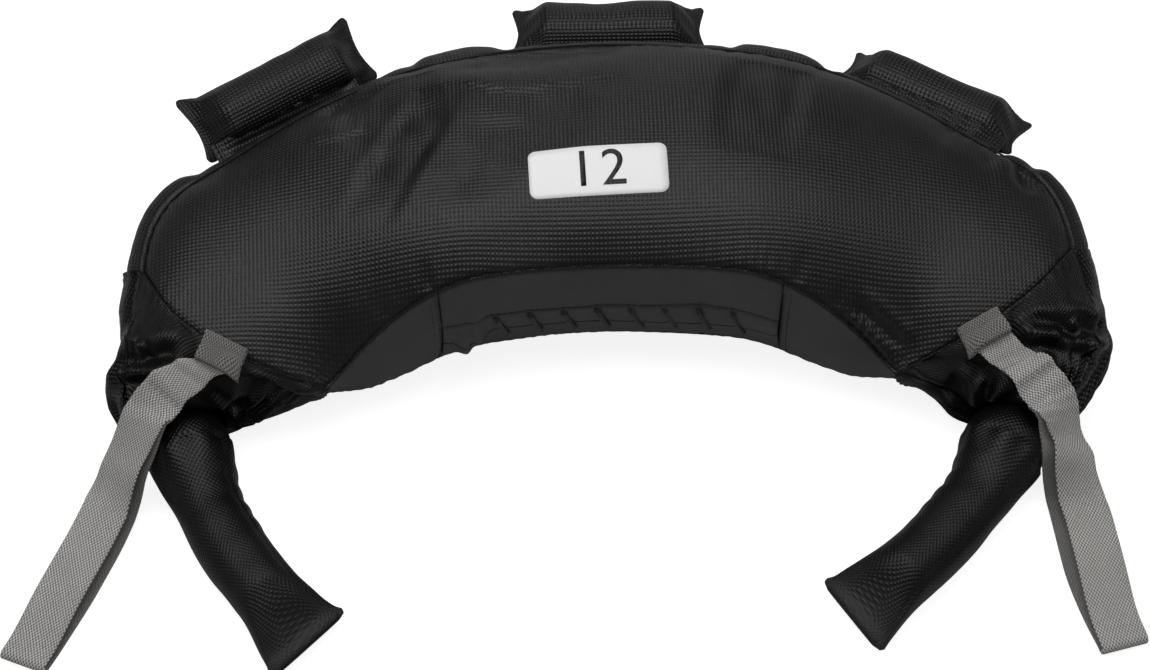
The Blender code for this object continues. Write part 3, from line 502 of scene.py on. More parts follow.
def bodyPoint(share, outline, s, bowed=False):
    center, outward, along = lineFrame(share)
    out, height = outline(sectionAt(share), s)
    bow = 0.0
    if bowed:
        edge = max(-1.0, min(1.0, s))
        deep = bag["seamBow"][sideOf(share)] * (1.0 - edge * edge)
        bow = deep * abs(share) ** 4 * math.copysign(1.0, share)
    return center + outward * out + along * bow + Vector((0.0, 0.0, height))


def topPlace(u, v):
    return bodyPoint(mix(-1.0, 1.0, u), outlineTop, -math.cos(math.pi * max(0.0, min(1.0, v))), True)


def outerPlace(u, v):
    return bodyPoint(mix(-1.0, 1.0, u), outlineOuter, 1.0 - 2.0 * v)


def underPlace(u, v):
    return bodyPoint(mix(-1.0, 1.0, u), outlineUnder, 1.0 - 2.0 * v)


bodyLength = 0.64
seamLook = {"driftScale": 30.0, "seedStep": 4.7, "row": 0.3, "drift": 6.0, "even": 0.4, "uneven": 0.6,
            "groove": 0.0011, "grooveWidth": 0.0022, "pucker": 0.00055, "puckerPitch": 0.0105,
            "puckerReach": 0.012, "wear": 0.55, "wearReach": 0.0035}
topSheet = {"softIn": 0.02, "foldIn": 0.006, "seeds": {"soft": 1, "fine": 2, "seam": 3, "end": 5},
            "grid": (360, 96), "across": 0.086, "endHeight": 0.19, "soft": 0.0016, "softScale": 9.0,
            "fine": 0.0007, "fineScale": 26.0, "foldWidth": 0.010, "fill": 0.95}
outerSheet = {"softIn": 0.02, "foldIn": 0.005, "foldFade": (0.15, 0.8),
              "seeds": {"soft": 4, "seam": 6, "end": 7},
              "grid": (300, 26), "flat": (0.78, 0.1), "height": 0.09, "soft": 0.0018, "softScale": 14.0,
              "foldWidth": 0.008, "foldMore": 1.5, "fill": 0.9}
underSheet = {"lifted": (0.001, 0.008), "seeds": {"soft": 8, "seam": 9},
              "grid": (220, 36), "across": 0.17, "soft": 0.0010, "softScale": 16.0, "fill": 0.9}


def seamRelief(fromSeam, along, seed):
    groove = -seamLook["groove"] * math.exp(-(fromSeam / seamLook["grooveWidth"]) ** 2)
    drift = noise.noise(Vector((along * seamLook["driftScale"], seed * seamLook["seedStep"], seamLook["row"])))
    ripple = math.sin(2.0 * math.pi * along / seamLook["puckerPitch"] + drift * seamLook["drift"])
    pucker = seamLook["pucker"] * ripple * math.exp(-fromSeam / seamLook["puckerReach"])
    return groove + pucker * (seamLook["even"] + seamLook["uneven"] * drift)


def seamWear(u, v):
    return seamLook["wear"] * math.exp(-min(v, 1.0 - v) * underSheet["across"] / seamLook["wearReach"])


# folds that run in from the seams: place along, side (1 inner seam, -1 outer seam), reach, depth
topFolds = [(0.335, -1, 0.30, 0.0016), (0.418, -1, 0.26, 0.0012), (0.612, -1, 0.30, 0.0014),
            (0.70, -1, 0.35, 0.0016), (0.825, -1, 0.45, 0.0022), (0.872, -1, 0.50, 0.0026),
            (0.905, -1, 0.42, 0.0022), (0.12, -1, 0.35, 0.0014), (0.20, 1, 0.28, 0.0014),
            (0.27, 1, 0.32, 0.0018), (0.735, 1, 0.32, 0.0018), (0.80, 1, 0.28, 0.0014)]
crownCreases = [([(-0.1865, 0.0464, 0.1101), (-0.1665, 0.0463, 0.1203), (-0.1485, 0.0401, 0.1298)],
                 0.0050, 0.0080, 0.0020),
                ([(-0.1700, 0.0080, 0.1290), (-0.1365, 0.0235, 0.1386), (-0.1000, 0.0300, 0.1440)],
                 0.0040, 0.0160, 0.0),
                ([(0.1507, -0.1001, 0.0946), (0.1694, -0.1090, 0.0798), (0.1851, -0.1209, 0.0685)],
                 0.0022, 0.0040, 0.0015),
                ([(0.2650, 0.0320, 0.0950), (0.2700, 0.0050, 0.1000), (0.2750, -0.0225, 0.0950)],
                 0.0045, 0.0060, 0.0020),
                ([(-0.0018, 0.0800, 0.1380), (-0.0284, 0.0245, 0.1507), (-0.0700, -0.0100, 0.1490),
                  (-0.1100, -0.0542, 0.1380)], 0.0040, 0.0240, 0.0),
                ([(-0.1500, -0.0019, 0.1400), (-0.1130, -0.0219, 0.1451)], 0.0050, 0.0340, 0.0),
                ([(0.0700, 0.0300, 0.1480), (0.1300, 0.0150, 0.1400)], 0.0025, 0.0300, 0.0),
                ([(0.0200, 0.0760, 0.1400), (-0.0099, 0.0760, 0.1388), (-0.0577, 0.0660, 0.1380),
                  (-0.1053, 0.0700, 0.1200)], 0.0050, 0.0070, 0.0020)]


def topRelief(u, v, here):
    inward = math.cos(math.pi * v)
    across = (1.0 - abs(inward)) * topSheet["across"]
    toEnd = min(u, 1.0 - u) * bodyLength
    soft = (topSheet["soft"] * lump(here, topSheet["softScale"], topSheet["seeds"]["soft"])
            + topSheet["fine"] * lump(here, topSheet["fineScale"], topSheet["seeds"]["fine"]))
    fold = 0.0
    for place, side, reach, depth in topFolds:
        near = hump(u, place, topSheet["foldWidth"]) * smoothStep(side * inward, 1.0 - reach, 1.0)
        fold -= depth * near
    fold += creaseRelief(here, crownCreases)
    return (soft * smoothStep(across, 0.0, topSheet["softIn"])
            + fold * smoothStep(across, 0.0, topSheet["foldIn"])
            + seamRelief(across, u * bodyLength, topSheet["seeds"]["seam"])
            + seamRelief(toEnd, v * topSheet["endHeight"], topSheet["seeds"]["end"]))


def outerRelief(u, v, here):
    across = min(v, 1.0 - v) * outerSheet["height"]
    toEnd = min(u, 1.0 - u) * bodyLength
    soft = outerSheet["soft"] * lump(here, outerSheet["softScale"], outerSheet["seeds"]["soft"])
    fold = 0.0
    for place, side, _, depth in topFolds:
        if side < 0:
            near = depth * outerSheet["foldMore"] * hump(u, place, outerSheet["foldWidth"])
            fold -= near * (1.0 - smoothStep(v, *outerSheet["foldFade"]))
    return (soft * smoothStep(across, 0.0, outerSheet["softIn"])
            + fold * smoothStep(across, 0.0, outerSheet["foldIn"])
            + seamRelief(across, u * bodyLength, outerSheet["seeds"]["seam"])
            + seamRelief(toEnd, v * outerSheet["height"], outerSheet["seeds"]["end"]))


def underRelief(u, v, here):
    lifted = smoothStep(here.z, *underSheet["lifted"])
    fromSeam = min(v, 1.0 - v) * underSheet["across"]
    soft = underSheet["soft"] * lump(here, underSheet["softScale"], underSheet["seeds"]["soft"])
    return lifted * (soft + seamRelief(fromSeam, u * bodyLength, underSheet["seeds"]["seam"]))


topBm = gridPiece(topSheet["grid"], topPlace, lambda u, v: tuple(topPlace(u, v).xy), topRelief, wear=seamWear)
topPanel = finishPiece("topPanel", topBm, "embossedLeather", "bag_body",
                       ("top_panel", "sand_sack_left", "sand_sack_center", "sand_sack_right"),
                       bag["skin"], fill=topSheet["fill"])
outerBm = gridPiece(outerSheet["grid"], outerPlace, flatMap(*outerSheet["flat"]), outerRelief, wear=seamWear)
outerWall = finishPiece("outerWall", outerBm, "embossedLeather", "bag_body", ("outer_wall",),
                        bag["skin"], fill=outerSheet["fill"])
underBm = gridPiece(underSheet["grid"], underPlace, lambda u, v: tuple(underPlace(u, v).xy), underRelief)
finishPiece("bottomPanel", underBm, "embossedLeather", "bag_body", ("bottom_panel",),
            bag["skin"], fill=underSheet["fill"])
print("body panels made")


# inner wall: a plain strip at each side, and between them two flaps that meet at the laced slit
innerSheet = {"softIn": 0.015, "seamRun": 0.2, "endRun": 0.08,
              "grid": (70, 30), "flat": (0.16, 0.08), "height": 0.085, "length": 0.25, "soft": 0.0014,
              "softScale": 18.0, "seeds": {"left": 11, "right": 14}, "fill": 0.8}
slit = bag["slitShare"]
innerShares = {"left": (-1.0, -slit), "right": (slit, 1.0)}


def innerPlace(side):
    return lambda u, v: bodyPoint(mix(*innerShares[side], u), outlineInner, 2.0 * v - 1.0)


def innerRelief(side):
    low, high = innerShares[side]
    seed = innerSheet["seeds"][side]

    def relief(u, v, here):
        across = min(v, 1.0 - v) * innerSheet["height"]
        toEnd = min(u, 1.0 - u) * (high - low) * innerSheet["length"]
        soft = innerSheet["soft"] * lump(here, innerSheet["softScale"], seed)
        return (soft * smoothStep(across, 0.0, innerSheet["softIn"])
                + seamRelief(across, mix(low, high, u) * innerSheet["seamRun"], seed + 1)
                + seamRelief(toEnd, v * innerSheet["endRun"], seed + 2))
    return relief


for side in innerShares:
    wallBm = gridPiece(innerSheet["grid"], innerPlace(side), flatMap(*innerSheet["flat"]), innerRelief(side),
                       wear=seamWear)
    finishPiece("innerWall" + side.capitalize(), wallBm, "wallLeather", "bag_body", ("inner_wall_" + side,),
                bag["skin"], fill=innerSheet["fill"])

flaps = {"Upper": {"grid": (190, 36), "flat": (0.24, 0.06), "height": 0.057, "place": 0},
         "Lower": {"grid": (190, 22), "flat": (0.24, 0.03), "height": 0.029, "place": 1}}
flapLook = {"run": 0.25, "endRun": 0.06, "drawnAt": 0.012, "drawnReach": 0.008, "ruffles": (80.0, 60.0),
            "hemRim": 0.0012, "stitchRim": 0.0010, "softIn": 0.02, "seeds": {"soft": 17, "seam": 18, "end": 19},
            "gap": 0.0012, "length": 0.22, "fill": 0.7, "hem": 0.019, "hemRise": 0.0007, "hemStitch": 0.0012,
            "bunchAt": (0.090, 0.045), "ruffle": 0.0042, "swell": 0.0100, "swellReach": 0.020,
            "ruffleReach": 0.018, "pull": 0.0011, "pullReach": 0.0045, "drawn": 0.0007, "soft": 0.0024,
            "softScale": 22.0}
laceLook = {"stitches": 8, "pitch": 0.0215, "lean": 0.008, "shift": 0.006, "Upper": 0.077, "Lower": 0.052,
            "radius": 0.0015, "clearance": 0.0008, "tail": 0.016, "tailDrop": 0.004, "bend": 0.0022}


def wallPoint(share, height, lift=0.0):
    cut = sectionAt(share)
    q = 2.0 * (height - cut["seamLow"]) / (cut["seamIn"] - cut["seamLow"]) - 1.0
    here = bodyPoint(share, outlineInner, q)
    step = 0.01
    up = bodyPoint(share, outlineInner, q + step) - bodyPoint(share, outlineInner, q - step)
    normal = lineFrame(share)[2].cross(up).normalized()
    return here + normal * lift


def shareAtX(x):
    low = -1.0
    high = 1.0
    for attempt in range(40):
        middle = (low + high) / 2.0
        if wallPoint(middle, bag["slitHeight"]).x < x:
            low = middle
        else:
            high = middle
    return (low + high) / 2.0


lacePlaces = []
for k in range(laceLook["stitches"]):
    x = laceLook["shift"] + (k - (laceLook["stitches"] - 1) / 2.0) * laceLook["pitch"]
    x -= laceLook["lean"] / 2.0
    lacePlaces.append((shareAtX(x), shareAtX(x + laceLook["lean"])))


def flapPlace(name):
    def place(u, v):
        share = mix(-slit, slit, u)
        cut = sectionAt(share)
        if name == "Upper":
            return wallPoint(share, mix(bag["slitHeight"] + flapLook["gap"] / 2.0, cut["seamIn"], v))
        return wallPoint(share, mix(cut["seamLow"], bag["slitHeight"] - flapLook["gap"] / 2.0, v))
    return place


def flapRelief(name):
    flap = flaps[name]
    holeHeight = laceLook[name]

    def relief(u, v, here):
        share = mix(-slit, slit, u)
        fromEdge = (v if name == "Upper" else 1.0 - v) * flap["height"]
        fromSeam = (1.0 - v if name == "Upper" else v) * flap["height"]
        pull = 0.0
        for places in lacePlaces:
            away = math.hypot((share - places[flap["place"]]) * flapLook["run"], here.z - holeHeight)
            pull -= flapLook["pull"] * math.exp(-(away / flapLook["pullReach"]) ** 2)
            between = hump(share, mix(*places, 0.5), flapLook["drawnAt"])
            pull -= flapLook["drawn"] * between * math.exp(-fromEdge / flapLook["drawnReach"])
        bunch = hump(u, *flapLook["bunchAt"])
        swell = flapLook["swell"] * bunch * math.exp(-(fromEdge / flapLook["swellReach"]) ** 2)
        ruffles, rising = flapLook["ruffles"]
        ripple = flapLook["ruffle"] * bunch * math.sin(u * ruffles + here.z * rising)
        ruffle = swell + ripple * math.exp(-fromEdge / flapLook["ruffleReach"])
        hem = flapLook["hemRise"] * smoothStep(flapLook["hem"] - fromEdge, 0.0, flapLook["hemRim"])
        hem -= flapLook["hemStitch"] * hump(fromEdge, flapLook["hem"], flapLook["stitchRim"])
        soft = flapLook["soft"] * lump(here, flapLook["softScale"], flapLook["seeds"]["soft"])
        toEnd = min(u, 1.0 - u) * flapLook["length"]
        return (pull + ruffle + hem + soft * smoothStep(fromSeam, 0.0, flapLook["softIn"])
                + seamRelief(fromSeam, share * flapLook["run"], flapLook["seeds"]["seam"])
                + seamRelief(toEnd, v * flapLook["endRun"], flapLook["seeds"]["end"]))
    return relief


for name, flap in flaps.items():
    flapBm = gridPiece(flap["grid"], flapPlace(name), flatMap(*flap["flat"]), flapRelief(name))
    finishPiece("lacingFlap" + name, flapBm, "wallLeather", "bag_body", ("lacing_flap_" + name.lower(),),
                bag["skin"], fill=flapLook["fill"])


def roundedRoute(points, cut, count=3):
    route = [points[0]]
    for before, here, after in zip(points[:-2], points[1:-1], points[2:]):
        first = here + (before - here).normalized() * min(cut, (before - here).length * 0.45)
        last = here + (after - here).normalized() * min(cut, (after - here).length * 0.45)
        for k in range(count + 1):
            t = k / count
            route.append(first * (1 - t) ** 2 + here * 2 * t * (1 - t) + last * t * t)
    route.append(points[-1])
    return route


def lengthsAlong(points):
    lengths = [0.0]
    for before, here in zip(points[:-1], points[1:]):
        lengths.append(lengths[-1] + (here - before).length)
    return lengths


def sweepRound(points, radius, sides=10):
    lengths = lengthsAlong(points)
    count = len(points) - 1
    frames = []
    up = Vector((0.0, 0.0, 1.0))
    for k, spot in enumerate(points):
        ahead = (points[min(k + 1, count)] - points[max(k - 1, 0)]).normalized()
        side = ahead.cross(up)
        if side.length < 0.1:
            side = ahead.cross(Vector((1.0, 0.0, 0.0)))
        side.normalize()
        up = side.cross(ahead).normalized()
        frames.append((spot, side, up.copy()))

    def place(u, v):
        spot, side, over = frames[round(v * count)]
        angle = 2.0 * math.pi * u
        return spot + side * (radius * math.cos(angle)) + over * (radius * math.sin(angle))

    tube = gridPiece((sides, count), place, lambda u, v: (u, lengths[round(v * count)]), closed=True)
    return closeShell(tube)


laceOut = laceLook["radius"] + laceLook["clearance"]
laceIn = -bag["skin"] - laceOut


# the lace's end, tucked behind a flap beyond its last hole
def laceTail(share, height, reach):
    x = wallPoint(share, bag["slitHeight"]).x + reach
    return wallPoint(shareAtX(x), height - laceLook["tailDrop"], laceIn)


lacePoints = [laceTail(lacePlaces[0][0], laceLook["Upper"], -laceLook["tail"])]
for upperShare, lowerShare in lacePlaces:
    lacePoints.append(wallPoint(upperShare, laceLook["Upper"], laceIn))
    lacePoints.append(wallPoint(upperShare, laceLook["Upper"], laceOut * 0.8))
    lacePoints.append(wallPoint(lowerShare, laceLook["Lower"], laceOut * 0.8))
    lacePoints.append(wallPoint(lowerShare, laceLook["Lower"], laceIn))
lacePoints.append(laceTail(lacePlaces[-1][1], laceLook["Lower"], laceLook["tail"]))
laceBm = sweepRound(roundedRoute(lacePoints, laceLook["bend"]), laceLook["radius"])
finishPiece("lace", laceBm, "blackLace", "bag_body", ("lace",))
print("inner wall and lace made")


# gathered end caps, from the end seam in to the neck of the end grip
neck = {"radius": 0.027, "socket": {"left": 0.0135, "right": 0.0180}, "forward": 0.068,
        "outward": {"left": 0.026, "right": 0.009}, "slack": {"left": -0.004, "right": 0.008},
        "heading": math.radians(18.0), "gap": 0.0001, "lift": 0.0004}
cap = {"keepAcross": (-0.06, 0.02), "swellAcross": 0.07, "pouchAcross": 0.05,
       "rows": 60, "flat": (0.42, 0.10), "fill": 0.75, "leave": 0.35, "arrive": 0.22, "turnPower": 1.15,
       "outerPower": {"left": 0.95, "right": 1.28}, "innerPower": {"left": 2.1, "right": 1.45},
       "heightPower": 1.8, "bowPower": 1.5, "swell": {"left": 0.0015, "right": 0.006},
       "swellAt": {"left": 0.60, "right": 0.50}, "notch": {"left": 0.0055, "right": 0.0005},
       "notchAt": {"left": 0.37, "right": 0.28}, "humpWidth": 0.13, "pouch": {"left": 0.009, "right": 0.003},
       "pouchAt": (0.86, 0.15), "wear": 0.3, "wearReach": 0.008}
gatherLook = {"driftScales": (9.0, 2.0), "gatherIn": (0.25, 0.85), "pleatDrift": 1.1,
              "crumpleMix": (0.9, 2.1, 3), "crumpleIn": (0.02, 0.3), "ridgeIn": (0.10, 0.45), "creaseIn": 0.07,
              "rimFade": 0.75, "rimFrom": 0.93, "deep": 0.09, "around": 0.4,
              "seeds": {"left": 21, "right": 25}, "pleats": 15.0, "pleatDepth": 0.0030, "crumple": 0.0022,
              "crumpleScale": 34.0, "ridge": 0.0024, "ridgeScale": 27.0, "lifted": (0.004, 0.026)}
signs = {"left": -1.0, "right": 1.0}
sectionCounts = {"top": 96, "outer": 34, "under": 44, "inner": 30}


def neckFrame(side):
    sign = signs[side]
    center = lineFrame(sign)[0]
    ball = center + Vector((sign * neck["outward"][side], -neck["forward"], neck["radius"] + neck["lift"]))
    heading = Vector((-sign * math.sin(neck["heading"]), -math.cos(neck["heading"]), 0.0))
    return ball + heading * neck["slack"][side], heading


# the end section as a loop of its reach, its height and how much the end seam bows there
def fineSection():
    cut = sectionAt(1.0)
    top, outside, under, inside = sectionCounts.values()
    loop = []
    for k in range(top):
        s = -math.cos(math.pi * k / top)
        loop.append((*outlineTop(cut, s), 1.0 - s ** 2))
    loop += [(*outlineOuter(cut, 1.0 - 2.0 * k / outside), 0.0) for k in range(outside)]
    loop += [(*outlineUnder(cut, math.cos(math.pi * k / under)), 0.0) for k in range(under)]
    loop += [(*outlineInner(cut, -1.0 + 2.0 * k / inside), 0.0) for k in range(inside)]
    return loop


sectionLoop = fineSection()
sectionMiddle = (min(p[1] for p in sectionLoop) + max(p[1] for p in sectionLoop)) / 2.0


def capPlace(side):
    sign = signs[side]
    center, _, along = lineFrame(sign)
    ball, heading = neckFrame(side)
    rim = ball - heading * neck["socket"][side]
    reach = (rim - center).length
    forward = along * sign
    turn = math.atan2(forward.x * heading.y - forward.y * heading.x, forward.dot(heading))
    a = Vector((center.x, center.y, 0.0))
    d = Vector((rim.x, rim.y, 0.0))
    b = a + forward * reach * cap["leave"]
    c = d - heading * reach * cap["arrive"]
    rimRadius = math.sqrt(neck["radius"] ** 2 - neck["socket"][side] ** 2) + neck["gap"] + bag["skin"]

    def place(t, u):
        out, height, bow = sectionLoop[round(t * len(sectionLoop)) % len(sectionLoop)]
        w = 1.0 - u
        spot = a * w ** 3 + b * 3.0 * w * w * u + c * 3.0 * w * u * u + d * u ** 3
        run = Matrix.Rotation(turn * u ** cap["turnPower"], 3, "Z") @ forward
        across = Vector((-run.y, run.x, 0.0)) * sign
        angle = math.atan2(height - sectionMiddle, out)
        keepOut = 1.0 - u ** cap["outerPower"][side]
        keep = mix(1.0 - u ** cap["innerPower"][side], keepOut, smoothStep(out, *cap["keepAcross"]))
        swell = (cap["swell"][side] * hump(u, cap["swellAt"][side], cap["humpWidth"])
                 - cap["notch"][side] * hump(u, cap["notchAt"][side], cap["humpWidth"]))
        swell *= smoothStep(out, 0.0, cap["swellAcross"])
        swell -= cap["pouch"][side] * hump(u, *cap["pouchAt"]) * smoothStep(-out, 0.0, cap["pouchAcross"])
        far = mix(rimRadius * math.cos(angle), out, keep) + swell
        tall = mix(ball.z + rimRadius * math.sin(angle), height, 1.0 - u ** cap["heightPower"])
        return (spot + across * far + run * bag["seamBow"][side] * bow * (1.0 - u) ** cap["bowPower"]
                + Vector((0.0, 0.0, tall)))
    return place


def capRelief(side):
    seed = gatherLook["seeds"][side]

    def relief(t, u, here):
        lifted = smoothStep(here.z, *gatherLook["lifted"])
        driftAround, driftAlong = gatherLook["driftScales"]
        drift = noise.noise(Vector((t * driftAround, u * driftAlong, seed)))
        gather = smoothStep(u, *gatherLook["gatherIn"])
        pleat = math.sin(2.0 * math.pi * (t * gatherLook["pleats"] + drift * gatherLook["pleatDrift"]))
        crumpleSpot = here * gatherLook["crumpleScale"] + Vector((seed, 0.0, 0.0))
        crumple = noise.fractal(crumpleSpot, *gatherLook["crumpleMix"])
        ridge = 1.0 - 2.0 * abs(noise.noise(here * gatherLook["ridgeScale"] + Vector((0.0, seed, 0.0))))
        body = (gatherLook["pleatDepth"] * gather * pleat - gatherLook["pleatDepth"] * gather
                + gatherLook["crumple"] * crumple * smoothStep(u, *gatherLook["crumpleIn"])
                - gatherLook["ridge"] * ridge * smoothStep(u, *gatherLook["ridgeIn"]))
        body += creaseRelief(here, capCreases[side]) * smoothStep(u, 0.0, gatherLook["creaseIn"])
        body *= 1.0 - gatherLook["rimFade"] * smoothStep(u, gatherLook["rimFrom"], 1.0)
        return lifted * (body + seamRelief(u * gatherLook["deep"], t * gatherLook["around"], seed + 1))
    return relief


capCreases = {
    "left": [([(-0.3086, -0.0995, 0.0720), (-0.2860, -0.1095, 0.0840), (-0.2599, -0.1113, 0.0880)],
              0.0060, 0.0090, 0.0),
             ([(-0.3155, -0.1200, 0.0634), (-0.2893, -0.1297, 0.0798), (-0.2671, -0.1265, 0.0854)],
              0.0075, 0.0036, 0.003),
             ([(-0.2974, -0.1142, 0.0884), (-0.2921, -0.1181, 0.0873), (-0.2934, -0.1232, 0.0849)],
              0.0030, 0.0020, 0.0015),
             ([(-0.2570, -0.1405, 0.0697), (-0.2426, -0.1356, 0.0444), (-0.2387, -0.1363, 0.0246)],
              0.0030, 0.0030, 0.0022),
             ([(-0.2302, -0.1294, 0.0789), (-0.2193, -0.1301, 0.0749), (-0.1969, -0.1307, 0.0570),
               (-0.1810, -0.1323, 0.0588)], 0.0035, 0.0030, 0.0022),
             ([(-0.2349, -0.1328, 0.0539), (-0.2206, -0.1340, 0.0586), (-0.1985, -0.1275, 0.0353)],
              0.0040, 0.0032, 0.0022)],
    "right": [([(0.2496, -0.1158, 0.0900), (0.2777, -0.1086, 0.0880), (0.3136, -0.0932, 0.0700)],
               0.0060, 0.0100, 0.0),
              ([(0.2560, -0.1242, 0.0909), (0.2754, -0.1266, 0.0898), (0.2966, -0.1251, 0.0780),
                (0.3200, -0.1140, 0.0590)], 0.0080, 0.0038, 0.0035),
              ([(0.2995, -0.1072, 0.0850), (0.3019, -0.1135, 0.0818), (0.3069, -0.1159, 0.0749)],
               0.0032, 0.0024, 0.0018),
              ([(0.2794, -0.1155, 0.0927), (0.2888, -0.1175, 0.0862), (0.3008, -0.1176, 0.0812)],
               0.0032, 0.0026, 0.0020),
              ([(0.2190, -0.1370, 0.0720), (0.2293, -0.1466, 0.0634)], 0.0035, 0.0028, 0.0020),
              ([(0.2354, -0.1413, 0.0759), (0.2269, -0.1473, 0.0552)], 0.0035, 0.0028, 0.0020),
              ([(0.1870, -0.1270, 0.0640), (0.1976, -0.1321, 0.0596), (0.2128, -0.1376, 0.0605)],
               0.0040, 0.0032, 0.0022)],
}
capPieces = {}
for side in signs:
    capBm = gridPiece((len(sectionLoop), cap["rows"]), capPlace(side), flatMap(*cap["flat"]), capRelief(side),
                      closed=True, flipped=side == "left",
                      wear=lambda u, v: cap["wear"] * math.exp(-v / cap["wearReach"]))
    bmesh.ops.recalc_face_normals(capBm, faces=capBm.faces)
    capPieces[side] = finishPiece("endCap" + side.capitalize(), capBm, "capLeather", "bag_body",
                                  ("end_cap_" + side, "end_stuffing_" + side), bag["skin"],
                                  fill=cap["fill"])
print("end caps made")


# end grips: a ball in the cap's socket, then a curved sleeve that ends in a flat seam
# grip "wear" lightens the sleeve towards its flat end: partly real wear, partly a painted highlight where the
# flat end catches the light
grip = {"widening": 1.6, "squarer": 0.55, "squareRim": 0.010,
        "length": 0.156, "radius": 0.0218, "taper": 0.045, "turn": math.radians(29.0), "turnPieces": 24,
        "swing": {"left": math.radians(-2.2), "right": math.radians(10.8)}, "pinch": 0.042,
        "endHalf": {"left": 0.0320, "right": 0.0305}, "corner": 0.0065, "endHeight": 0.013, "flatGap": 0.0004,
        "backAngle": math.radians(40.0), "sides": 64, "rows": 92, "backRows": 12, "flat": (0.1413, 0.170),
        "wear": 1.6, "wearReach": 0.08, "fill": 0.85}
gripFolds = {"radialIn": (0.001, 0.010), "ripples": 9.0, "rippleDrift": 2.0, "driftScale": 20.0,
             "pressedWaves": 420.0, "seamWidth": 0.004, "neckFolds": 7.0, "start": 0.004, "softIn": 0.01,
             "seeds": {"left": 31, "right": 35}, "lifted": (0.0008, 0.006), "radial": 0.0008,
             "radialReach": 0.020, "hem": 0.0011, "hemAt": (0.0030, 0.0022), "pressed": 0.0011,
             "pressedAt": (0.045, 0.03), "seam": 0.0009, "seamAngle": 0.9, "neckFold": 0.0016,
             "neckReach": 0.028, "soft": 0.0013, "softScale": 26.0, "fine": 0.0006, "fineScale": 60.0}


def roundedCorner(edge, corner):
    return corner * (1.0 - math.sqrt(1.0 - (1.0 - min(1.0, edge / corner)) ** 2))


def gripLine(side, distance):
    sign = signs[side]
    spot = neckFrame(side)[0].copy()
    start = neck["heading"] + grip["swing"][side]
    pieces = grip["turnPieces"]
    for k in range(pieces):
        angle = start + grip["turn"] * (k + 0.5) / pieces * distance / grip["length"]
        spot += Vector((-sign * math.sin(angle), -math.cos(angle), 0.0)) * (distance / pieces)
    angle = start + grip["turn"] * distance / grip["length"]
    low = mix(neck["radius"], grip["radius"], smoothStep(distance, 0.0, grip["taper"])) + neck["lift"]
    spot.z = mix(low, grip["endHeight"], smoothStep(distance, grip["length"] - grip["pinch"], grip["length"]))
    return spot, Vector((-sign * math.sin(angle), -math.cos(angle), 0.0))


# rings from the ball's back to the end seam: middle, direction, half width, half height, distance
def gripRings(side):
    rows, backRows = grip["rows"], grip["backRows"]
    ball, direction = neckFrame(side)[0], gripLine(side, 0.0)[1]
    rings = []
    for k in range(backRows):
        back = mix(grip["backAngle"], math.pi / 2.0, k / backRows)
        size = neck["radius"] * math.sin(back)
        rings.append((ball - direction * (neck["radius"] * math.cos(back)), direction, size, size, -1.0))
    for k in range(backRows, rows + 1):
        distance = grip["length"] * (k - backRows) / (rows - backRows)
        spot, direction = gripLine(side, distance)
        radius = mix(neck["radius"], grip["radius"], smoothStep(distance, 0.0, grip["taper"]))
        share = max(0.0, (distance - grip["length"] + grip["pinch"]) / grip["pinch"])
        wide = mix(radius, grip["endHalf"][side], share ** grip["widening"])
        wide -= roundedCorner(grip["length"] - distance, grip["corner"])
        tall = mix(radius, bag["skin"] + grip["flatGap"], mix(share, smoothStep(share), 0.25))
        rings.append((spot, direction, wide, tall, distance))
    return rings


def gripPlace(rings):
    def place(t, u):
        spot, direction, wide, tall, distance = rings[round(u * grip["rows"])]
        across = Vector((-direction.y, direction.x, 0.0))
        angle = 2.0 * math.pi * t
        nearEnd = smoothStep(distance, grip["length"] - grip["pinch"], grip["length"] - grip["squareRim"])
        flatter = 1.0 - grip["squarer"] * nearEnd
        reach = math.copysign(abs(math.cos(angle)) ** flatter, math.cos(angle))
        rise = math.copysign(abs(math.sin(angle)) ** flatter, math.sin(angle))
        return spot + across * (wide * reach) + Vector((0.0, 0.0, tall * rise))
    return place


def gripRelief(side, rings):
    seed = gripFolds["seeds"][side]

    def relief(t, u, here):
        distance = rings[round(u * grip["rows"])][4]
        angle = 2.0 * math.pi * t
        toEnd = grip["length"] - distance
        radial = math.exp(-toEnd / gripFolds["radialReach"]) * smoothStep(toEnd, *gripFolds["radialIn"])
        drift = gripFolds["rippleDrift"] * lump(here, gripFolds["driftScale"], seed)
        ripple = 0.5 + 0.5 * math.sin(angle * gripFolds["ripples"] + drift)
        folds = -gripFolds["radial"] * radial * ripple
        folds += gripFolds["hem"] * hump(toEnd, *gripFolds["hemAt"])
        bendSide = max(0.0, -signs[side] * math.cos(angle))
        pressed = (-gripFolds["pressed"] * bendSide * hump(distance, *gripFolds["pressedAt"])
                   * (0.5 + 0.5 * math.sin(distance * gripFolds["pressedWaves"])))
        besideSeam = math.sin(angle + gripFolds["seamAngle"])
        seam = -gripFolds["seam"] * hump(besideSeam, 1.0, gripFolds["seamWidth"])
        neckFold = (gripFolds["neckFold"] * math.sin(angle * gripFolds["neckFolds"] + seed)
                    * (1.0 - smoothStep(distance, 0.0, gripFolds["neckReach"])))
        soft = (gripFolds["soft"] * lump(here, gripFolds["softScale"], seed)
                + gripFolds["fine"] * lump(here, gripFolds["fineScale"], seed + 1))
        inside = 1.0 if distance > gripFolds["start"] else 0.0
        return (smoothStep(here.z, *gripFolds["lifted"]) * inside
                * (folds + pressed + seam + neckFold + soft * smoothStep(toEnd, 0.0, gripFolds["softIn"])))
    return relief


